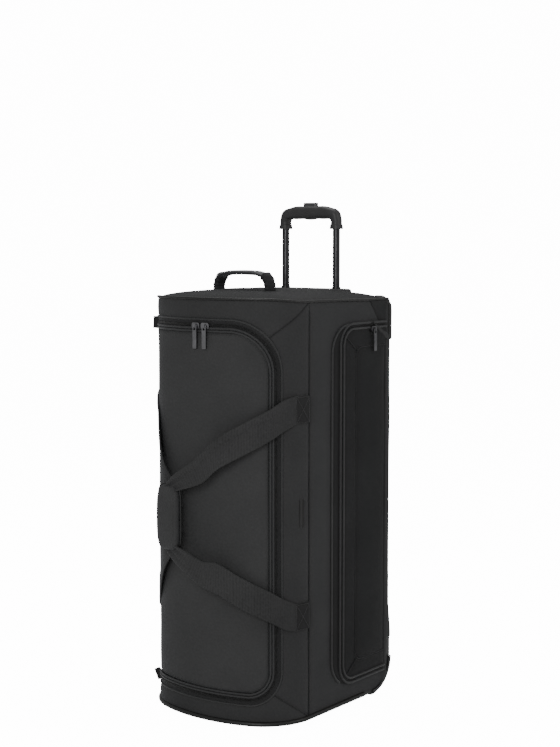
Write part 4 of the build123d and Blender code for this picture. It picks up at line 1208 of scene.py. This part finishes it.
def make_top_handle():
    """A padded sleeve on two ribbed webbing ends."""
    y = (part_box("top_handle_sleeve")[0][1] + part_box("top_handle_sleeve")[1][1]) / 2 - 8 * MM
    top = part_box("top_handle_sleeve")[1][2] + 3 * MM
    base = body_top + 6 * MM
    arch = [
        (-60 * MM, y, base), (-60.5 * MM, y, base + 12 * MM), (-60 * MM, y, base + 24 * MM),
        (-53 * MM, y, top - 12 * MM), (-36 * MM, y, top - 5.6 * MM), (-18 * MM, y, top - 4.2 * MM),
        (0, y, top - 3.8 * MM),
    ]
    arch += [(-p[0], p[1], p[2]) for p in reversed(arch[:-1])]
    frames = path_frames(arch, 220, Vector((0, 1, 0)))
    pad = []
    ends = [[], []]
    for here, across, out, t in frames:
        inside = smooth_step(0.24, 0.275, t) * (1 - smooth_step(0.725, 0.76, t))
        if 0.235 <= t <= 0.765:
            pad.append((here, across, out, 0.82 + 0.18 * inside, 0.55 + 0.45 * inside))
        rib = 1 + 0.16 * math.sin(t * 620)
        crease = 1 + 0.06 * math.sin(t * 130)
        if t <= 0.27:
            ends[0].append((here, across, out, crease, rib))
        if t >= 0.73:
            ends[1].append((here, across, out, crease, rib))
    oval = [(15.5 * MM * math.copysign(abs(math.cos(a)) ** 0.8, math.cos(a)), 4.4 * MM * math.sin(a))
            for a in (math.tau * i / 28 for i in range(28))]
    sleeve = scaled_loft("top_handle_pad", pad, oval, HANDLE_CLOTH)
    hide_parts("top_handle_sleeve")
    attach(sleeve, "bag")
    thick = [(13.5 * MM * math.copysign(abs(math.cos(a)) ** 0.6, math.cos(a)), 7.4 * MM * math.sin(a))
             for a in (math.tau * i / 24 for i in range(24))]
    legs = [scaled_loft("leg", end, thick, HANDLE_WEBBING) for end in ends]
    webbing = join_parts("top_handle_ends", legs)
    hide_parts("top_handle_webbing")
    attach(webbing, "bag")
    rows = []
    for edge in (-12 * MM, 12 * MM):
        run = [
            (here + out * 4.0 * MM + across * edge, across, out)
            for here, across, out, t in frames
            if 0.3 < t < 0.7
        ]
        rows.append(row_of("threads", STITCH, evenly(run, 4.2 * MM), THREAD))
    row = join_parts("top_handle_stitches", rows)
    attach(row, "bag")


def make_grip():
    """The moulded grip: arched crown, palm swell, round shoulders and ribbed collars."""
    low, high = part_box("trolley_grip")
    y = (low[1] + high[1]) / 2
    leg_x = 61.5 * MM
    bottom = low[2]
    crown_z = high[2]
    stations = [  # x, z, half thickness across the bar, half depth
        (-leg_x, bottom, 11.6, 13.2),
        (-leg_x, bottom + 7 * MM, 11.0, 12.6),
        (-leg_x, bottom + 11 * MM, 9.4, 11.6),
        (-leg_x + 0.5 * MM, bottom + 18 * MM, 9.6, 11.8), (-56.5 * MM, bottom + 27.5 * MM, 11.2, 12.4),
        (-47 * MM, crown_z - 15.2 * MM, 11.4, 12.8), (-32 * MM, crown_z - 13.6 * MM, 13.0, 13.2),
        (-16 * MM, crown_z - 13.4 * MM, 12.8, 13.8), (0, crown_z - 14 * MM, 14.0, 14.0),
    ]
    stations += [(-x, z, thick, deep) for x, z, thick, deep in reversed(stations[:-1])]
    points = [(x, y, z) for x, z, _, _ in stations]
    sizes = [(thick, deep) for _, _, thick, deep in stations]
    samples = []
    for here, across, out, t in path_frames(points, 260, Vector((0, 1, 0))):
        thick, deep = through(sizes, t)
        reach = min(t, 1 - t)
        if reach < 0.075:
            thick += 0.45 * math.sin(reach * 900)
        samples.append((here, across, out, deep * MM, thick * MM))
    section = [
        (
            math.copysign(abs(math.cos(a)) ** 0.72, math.cos(a)),
            math.copysign(abs(math.sin(a)) ** 0.8, math.sin(a)),
        )
        for a in (math.tau * i / 36 for i in range(36))
    ]
    grip = scaled_loft("trolley_grip_moulding", samples, section, GRIP_RUBBER)
    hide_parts("trolley_grip")
    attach(grip, "trolley_grip_stage")
    seat = []
    for i in range(49):
        turn = math.tau * i / 48
        wide = math.copysign(abs(math.cos(turn)) ** 0.5, math.cos(turn)) * 19 * MM
        deep = math.copysign(abs(math.sin(turn)) ** 0.5, math.sin(turn)) * 8.2 * MM
        sink = 1.0 * MM + 1.2 * MM * (deep / (8.2 * MM)) ** 2 + 0.6 * MM * (wide / (19 * MM)) ** 2
        place = Vector((wide, y + deep, crown_z - sink))
        seat.append((place, Vector((math.cos(turn), math.sin(turn), 0)), Vector((0, 0, 1))))
    ring = loft("button_surround", seat, round_section(0.9 * MM, 8), GRIP_RUBBER, close_ends=False)
    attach(ring, "trolley_grip_stage")


def make_zip_tabs():
    """Folded tabs over the zip's two ends."""
    tabs = []
    for z, tilt in ((lid_top, 0.05), (lid_bottom, -0.35)):
        centre, across, outward = skin_frame(-lid_s - 6 * MM, z, 0, 0, 1)
        lean = (outward + Vector((0, 0, tilt))).normalized()
        side = lean.cross(across).normalized()
        up = side.cross(lean).normalized()
        samples = []
        for i in range(19):
            t = i / 18
            round_end = math.sqrt(max(0.05, 1 - smooth_step(0.82, 1.0, t)))
            samples.append((centre + lean * (t * 11 * MM - 1 * MM), up, side, 1.0 - 0.06 * t, round_end))
        section = [(12 * MM * math.copysign(abs(math.cos(a)) ** 0.4, math.cos(a)), 2.4 * MM * math.sin(a))
                   for a in (math.tau * i / 20 for i in range(20))]
        tabs.append(scaled_loft("tab", samples, section, TAPE_CLOTH))
    tab = join_parts("zip_end_tab_folds", tabs)
    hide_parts("zip_end_tabs")
    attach(tab, "bag")


def make_badge():
    """A blank plate with rounded ends."""
    s_middle = seam_s - math.radians(11.6) * shoulder_radius
    samples = []
    for i in range(41):
        t = i / 40
        z = 400 * MM + (t - 0.5) * 54 * MM
        ends = min(t, 1 - t) * 54 * MM
        wide = math.sqrt(max(0.02, 1 - max(0, 1 - ends / (3.5 * MM)) ** 2))
        high = 0.35 + 0.65 * smooth_step(0, 2.5 * MM, ends)
        centre, across, outward = skin_frame(s_middle, z, 1.0 * MM, 1, 0)
        samples.append((centre, across, outward, wide, high))
    right_side = [(5.4 * MM, 0), (5.2 * MM, 1.2 * MM), (4.4 * MM, 1.5 * MM), (3.6 * MM, 1.0 * MM)]
    section = right_side + [(-x, y) for x, y in reversed(right_side)]
    plate = scaled_loft("badge_moulding", samples, section, BADGE)
    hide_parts("badge_plate")
    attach(plate, "bag")


# ---- side pocket ----
def on_side(run_s, z, lift):
    """A point on the right side panel; run_s is measured forward from the back."""
    return Vector((half_width + lift, -run_s, z))


def side_samples(run, lift):
    return [
        (on_side(s, z, lift), Vector((0, -across[0], across[1])).normalized(), Vector((1, 0, 0)))
        for s, z, across in run
    ]


pocket_low, pocket_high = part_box("pocket_flap")
flap_edges = (-pocket_high[1] + 2 * MM, -pocket_low[1], pocket_low[2], pocket_high[2], 34 * MM, 34 * MM)
border_front = 8 * MM
border_edges = (-194 * MM, -border_front, 50 * MM, 738 * MM, 56 * MM, 56 * MM)
panel_edges = (-183 * MM, -84 * MM, 92 * MM, 692 * MM, 20 * MM, 20 * MM)
pocket_mitres = [
    ((-47 * MM, 717 * MM), (-84 * MM, 689 * MM)),
    ((-56 * MM, 68 * MM), (-90 * MM, 94 * MM)),
]


def border_lift(s, z):
    inner = inside_run(s, z, *flap_edges)
    outer = -inside_run(s, z, *border_edges)
    rise = smooth_step(-1 * MM, 5 * MM, outer)
    soft = 1.2 * MM * math.exp(-(((outer - 12 * MM) / (6 * MM)) ** 2))
    return 3.2 * MM * rise + soft + 1.2 * MM * smooth_step(12 * MM, 2 * MM, inner) if inner > 0 else 4.2 * MM


def make_pocket_border():
    left, right, low, high = border_edges[:4]

    def place(u, v):
        s = left + u * (right - left)
        z = low + v * (high - low)
        return on_side(s, z, border_lift(s, z))

    skin = grid("pocket_border_skin", 66, 230, place, (right - left, high - low))
    total = sum(face.normal.x * face.area for face in skin.data.polygons)
    if total < 0:
        skin.data.flip_normals()

    def unwanted(face):
        s, z = -face.center.y, face.center.z
        return inside_run(s, z, *border_edges) > 0 or inside_run(s, z, *flap_edges) < -3 * MM

    drop_faces(skin, unwanted)
    thicken(skin, 1.6 * MM)
    finish_mesh(skin, POCKET_CLOTH)
    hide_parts("pocket_border")
    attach(skin, "bag")


def flap_lift(s, z):
    edge = -inside_run(s, z, *flap_edges)
    panel = -inside_run(s, z, *panel_edges)
    seam = min(to_segment(s, z, *line) for line in pocket_mitres)
    base = 4.4 * MM + puff(min(edge, seam if seam < 30 * MM else 1), 3.0 * MM, 9 * MM, 0.6 * MM)
    if panel > 0:
        raised = puff(panel, 3.0 * MM, 14 * MM, 1.6 * MM)
    else:
        raised = -1.6 * MM * math.exp(-((panel / (1.7 * MM)) ** 2))
    return base + raised + ripple(s, z, 0.11, 0.9 * MM, 4.0)


def make_pocket_flap():
    left, right, low, high = flap_edges[:4]

    def place(u, v):
        s = left + u * (right - left)
        z = low + v * (high - low)
        return on_side(s, z, flap_lift(s, z))

    skin = grid("pocket_flap_skin", 74, 300, place, (right - left, high - low))
    total = sum(face.normal.x * face.area for face in skin.data.polygons)
    if total < 0:
        skin.data.flip_normals()
    drop_faces(skin, lambda face: inside_run(-face.center.y, face.center.z, *flap_edges) > -0.5 * MM)
    thicken(skin, 1.8 * MM)
    finish_mesh(skin, POCKET_CLOTH)
    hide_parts("pocket_flap")
    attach(skin, "pocket_lid")


def pocket_run(offset, edges=None):
    return rounded_run(*(edges or flap_edges), offset)


def make_pocket_trims():
    outer = [p for p in pocket_run(-3.2 * MM, border_edges) if p[1] > 72 * MM or p[0] > -40 * MM]
    for name, run, radius, lift, body in (
        ("pocket_welt", outer, 2.2 * MM, 3.6 * MM, "bag"),
        ("pocket_piping_border", pocket_run(6.2 * MM), 2.3 * MM, 5.4 * MM, "bag"),
        ("pocket_piping_flap", pocket_run(-3.0 * MM), 2.2 * MM, 6.6 * MM, "pocket_lid"),
    ):
        trim = loft(name, side_samples(run, lift), round_section(radius, 10, 0.85), WELT)
        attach(trim, body)
    tape_run = side_samples(pocket_run(1.8 * MM), 4.2 * MM)
    groove = loft("pocket_zip_tape", tape_run, flat_section(6 * MM, 0.8 * MM), TAPE_CLOTH)
    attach(groove, "bag")
    teeth = row_of("pocket_coil", TOOTH, evenly(side_samples(pocket_run(1.8 * MM), 5.3 * MM), 2.6 * MM), COIL)
    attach(teeth, "bag")
    panel_stitches = side_samples(pocket_run(3.6 * MM, panel_edges), 7.2 * MM)
    add_stitches("pocket_panel_stitches", panel_stitches, "pocket_lid")
    panel_seam = side_samples(pocket_run(0, panel_edges), 6.6 * MM)
    seams = [loft("seam", panel_seam, round_section(1.0 * MM, 8), TAPE_CLOTH)]
    for start, end in pocket_mitres:
        run = straight_skin_run(start, end)
        seams.append(loft("seam", side_samples(run, 6.2 * MM), round_section(1.0 * MM, 8), TAPE_CLOTH))
    seam = join_parts("pocket_panel_seams", seams)
    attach(seam, "pocket_lid")


# ---- rear corners ----
def make_corner_patches():
    """Triangular patches with a folded tip, on both rear top corners."""
    parts = []
    for side in (-1, 1):
        def place(u, v):
            front = Vector((0, 139 * MM, body_top - 3 * MM)).lerp(Vector((0, 202 * MM, 705 * MM)), v)
            sag = 9 * MM * math.sin(math.pi * v) * 0.5
            point = front.lerp(Vector((0, back_y - 1 * MM, front.z)), u)
            point.z -= sag * (1 - u)
            edge = min(u * 3, 1)
            return Vector((side * (half_width + 1.2 * MM + 1.6 * MM * edge), point.y, point.z))

        patch = grid("patch", 16, 30, place, (66 * MM, 75 * MM))
        total = sum(face.normal.x * face.area for face in patch.data.polygons) * side
        if total < 0:
            patch.data.flip_normals()
        thicken(patch, 1.6 * MM)
        parts.append(finish_mesh(patch, PATCH_CLOTH))

        def tip(u, v):
            point = Vector((0, 136 * MM, 738 * MM)).lerp(Vector((0, 200 * MM, 711 * MM - 13 * MM * u)), v)
            point.z -= 3 * MM * u * math.sin(math.pi * v)
            x = half_width + 9 * MM - 4.5 * MM * v + 1.2 * MM * math.sin(math.pi * u)
            return Vector((side * x, point.y, point.z))

        if side > 0:
            fold = grid("tip", 8, 24, tip, (14 * MM, 70 * MM))
            if sum(face.normal.x * face.area for face in fold.data.polygons) < 0:
                fold.data.flip_normals()
            thicken(fold, 2.0 * MM)
            parts.append(finish_mesh(fold, SIDE_CLOTH))
    cover = join_parts("rear_corner_patches", parts)
    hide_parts("corner_patches")
    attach(cover, "bag")


def make_corner_guard(side, node):
    """A moulded edge that wraps the rear top corner."""
    x = side * (half_width + 0.8 * MM)
    y = back_y + 0.8 * MM
    path = [
        (x, y, 700 * MM), (x, y, 715 * MM), (x, y, 740 * MM), (x, y, 758 * MM),
        (x - side * 1.5 * MM, y - 1 * MM, 770 * MM),
        (x - side * 6 * MM, y - 8 * MM, 777.5 * MM), (x - side * 7 * MM, y - 20 * MM, 779 * MM),
        (x - side * 7 * MM, y - 32 * MM, 779.5 * MM),
    ]
    out = Vector((side, 1, 0)).normalized()
    samples = []
    for i in range(71):
        t = i / 70
        here = Vector(through(path, t))
        ahead = Vector(through(path, min(1, t + 0.01)))
        behind = Vector(through(path, max(0, t - 0.01)))
        travel = (ahead - behind).normalized()
        swing = smooth_step(0.5, 0.8, t)
        outward = (out * (1 - swing) + Vector((side * 0.7, 0.2, 0.75)) * swing).normalized()
        sideways = travel.cross(outward).normalized()
        end = min(1, 0.5 + min(t, 1 - t) * 12)
        samples.append((here, sideways, outward, end, end))
    turns = [math.tau * i / 20 for i in range(20)]
    section = [(9.5 * MM * math.cos(a), 4.6 * MM * math.sin(a)) for a in turns]
    guard = scaled_loft(f"corner_guard_edge_{node}", samples, section, MOULDED)
    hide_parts(f"corner_guard_{node}")
    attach(guard, "bag")


BADGE = plastic_material("badge plastic", (0.002, 0.002, 0.002), (0.004, 0.004, 0.004), 0.35, 1500.0, 0.05)
PATCH_THREAD = plastic_material("patch thread", (0.035, 0.035, 0.036), (0.06, 0.06, 0.061), 0.6, 1500.0, 0.2)
HANDLE_CLOTH = cloth_material("handle cloth", (0.008, 0.008, 0.0085), (0.02, 0.02, 0.0205), 1500.0, 0.5, 0.3)

make_straps()
make_anchor_patches()
make_wrap()
make_top_handle()
make_grip()
make_zip_tabs()
make_badge()
make_pocket_border()
make_pocket_flap()
make_pocket_trims()
make_corner_patches()
make_corner_guard(-1, "left")
make_corner_guard(1, "right")

# ---- the rest of the frame's nodes keep their shape and get their finish ----
finishes = {
    "moulded_plastic": MOULDED, "button_plastic": BUTTON, "tyre_rubber": TYRE, "tube_aluminium": TUBE_METAL,
    "steel": STEEL, "zip_metal": ZIP_METAL, "lining": LINING, "webbing": WEBBING, "piping": PIPING,
    "zip_tape": TAPE_CLOTH, "patch_fabric": PATCH_CLOTH, "bag_fabric": SIDE_CLOTH,
}
for part in frame["record"]["subparts"]:
    node = frame["nodes"][part["node"]]
    node.data.materials.clear()
    node.data.materials.append(finishes[part["material_slot"]])

# ---- floor, light and camera ----
def studio_floor():
    material, tree, shader, _ = start_material("studio paper", 0.9, 0.1)
    shader.inputs["Base Color"].default_value = (0.93, 0.93, 0.93, 1)
    rays = tree.nodes.new("ShaderNodeLightPath")
    glow = math_node(tree, "MULTIPLY", rays.outputs["Is Camera Ray"], 14.0)
    shader.inputs["Emission Color"].default_value = (1, 1, 1, 1)
    tree.links.new(glow, shader.inputs["Emission Strength"])
    return material


deselect()
bpy.ops.mesh.primitive_plane_add(size=60)
floor = bpy.context.object
floor.name = "floor"
floor.data.materials.append(studio_floor())

world = bpy.data.worlds.new("studio")
bpy.context.scene.world = world
world.use_nodes = True
sky = world.node_tree
rays = sky.nodes.new("ShaderNodeLightPath")
brightness = math_node(sky, "MULTIPLY_ADD", rays.outputs["Is Camera Ray"], 14.0)
sky.links.new(brightness, sky.nodes["Background"].inputs["Strength"])
sky.nodes["Math"].inputs[2].default_value = 0.55
sky.nodes["Background"].inputs["Color"].default_value = (1, 1, 1, 1)


def add_light(name, place, target, size, power):
    data = bpy.data.lights.new(name, "AREA")
    data.size = size
    data.energy = power
    light = bpy.data.objects.new(name, data)
    bpy.context.collection.objects.link(light)
    light.location = place
    light.rotation_euler = (Vector(target) - Vector(place)).to_track_quat("-Z", "Y").to_euler()


add_light("key", (1.3, -3.2, 1.7), (0, 0, 0.4), 1.6, 75)
add_light("rear side", (3.0, 1.2, 1.8), (0, 0, 0.4), 1.2, 25)
add_light("top", (-0.4, 0.6, 3.0), (0, 0, 0.4), 1.6, 35)

azimuth = math.radians(37)
pitch = math.radians(5.25)
camera_data = bpy.data.cameras.new("camera")
camera_data.lens = 73.3
camera_data.sensor_width = 36
camera_data.clip_end = 100
camera = bpy.data.objects.new("camera", camera_data)
bpy.context.collection.objects.link(camera)
camera.location = (1.767, -2.272, 0.904)
camera.rotation_euler = (math.pi / 2 - pitch, 0, azimuth)
bpy.context.scene.camera = camera
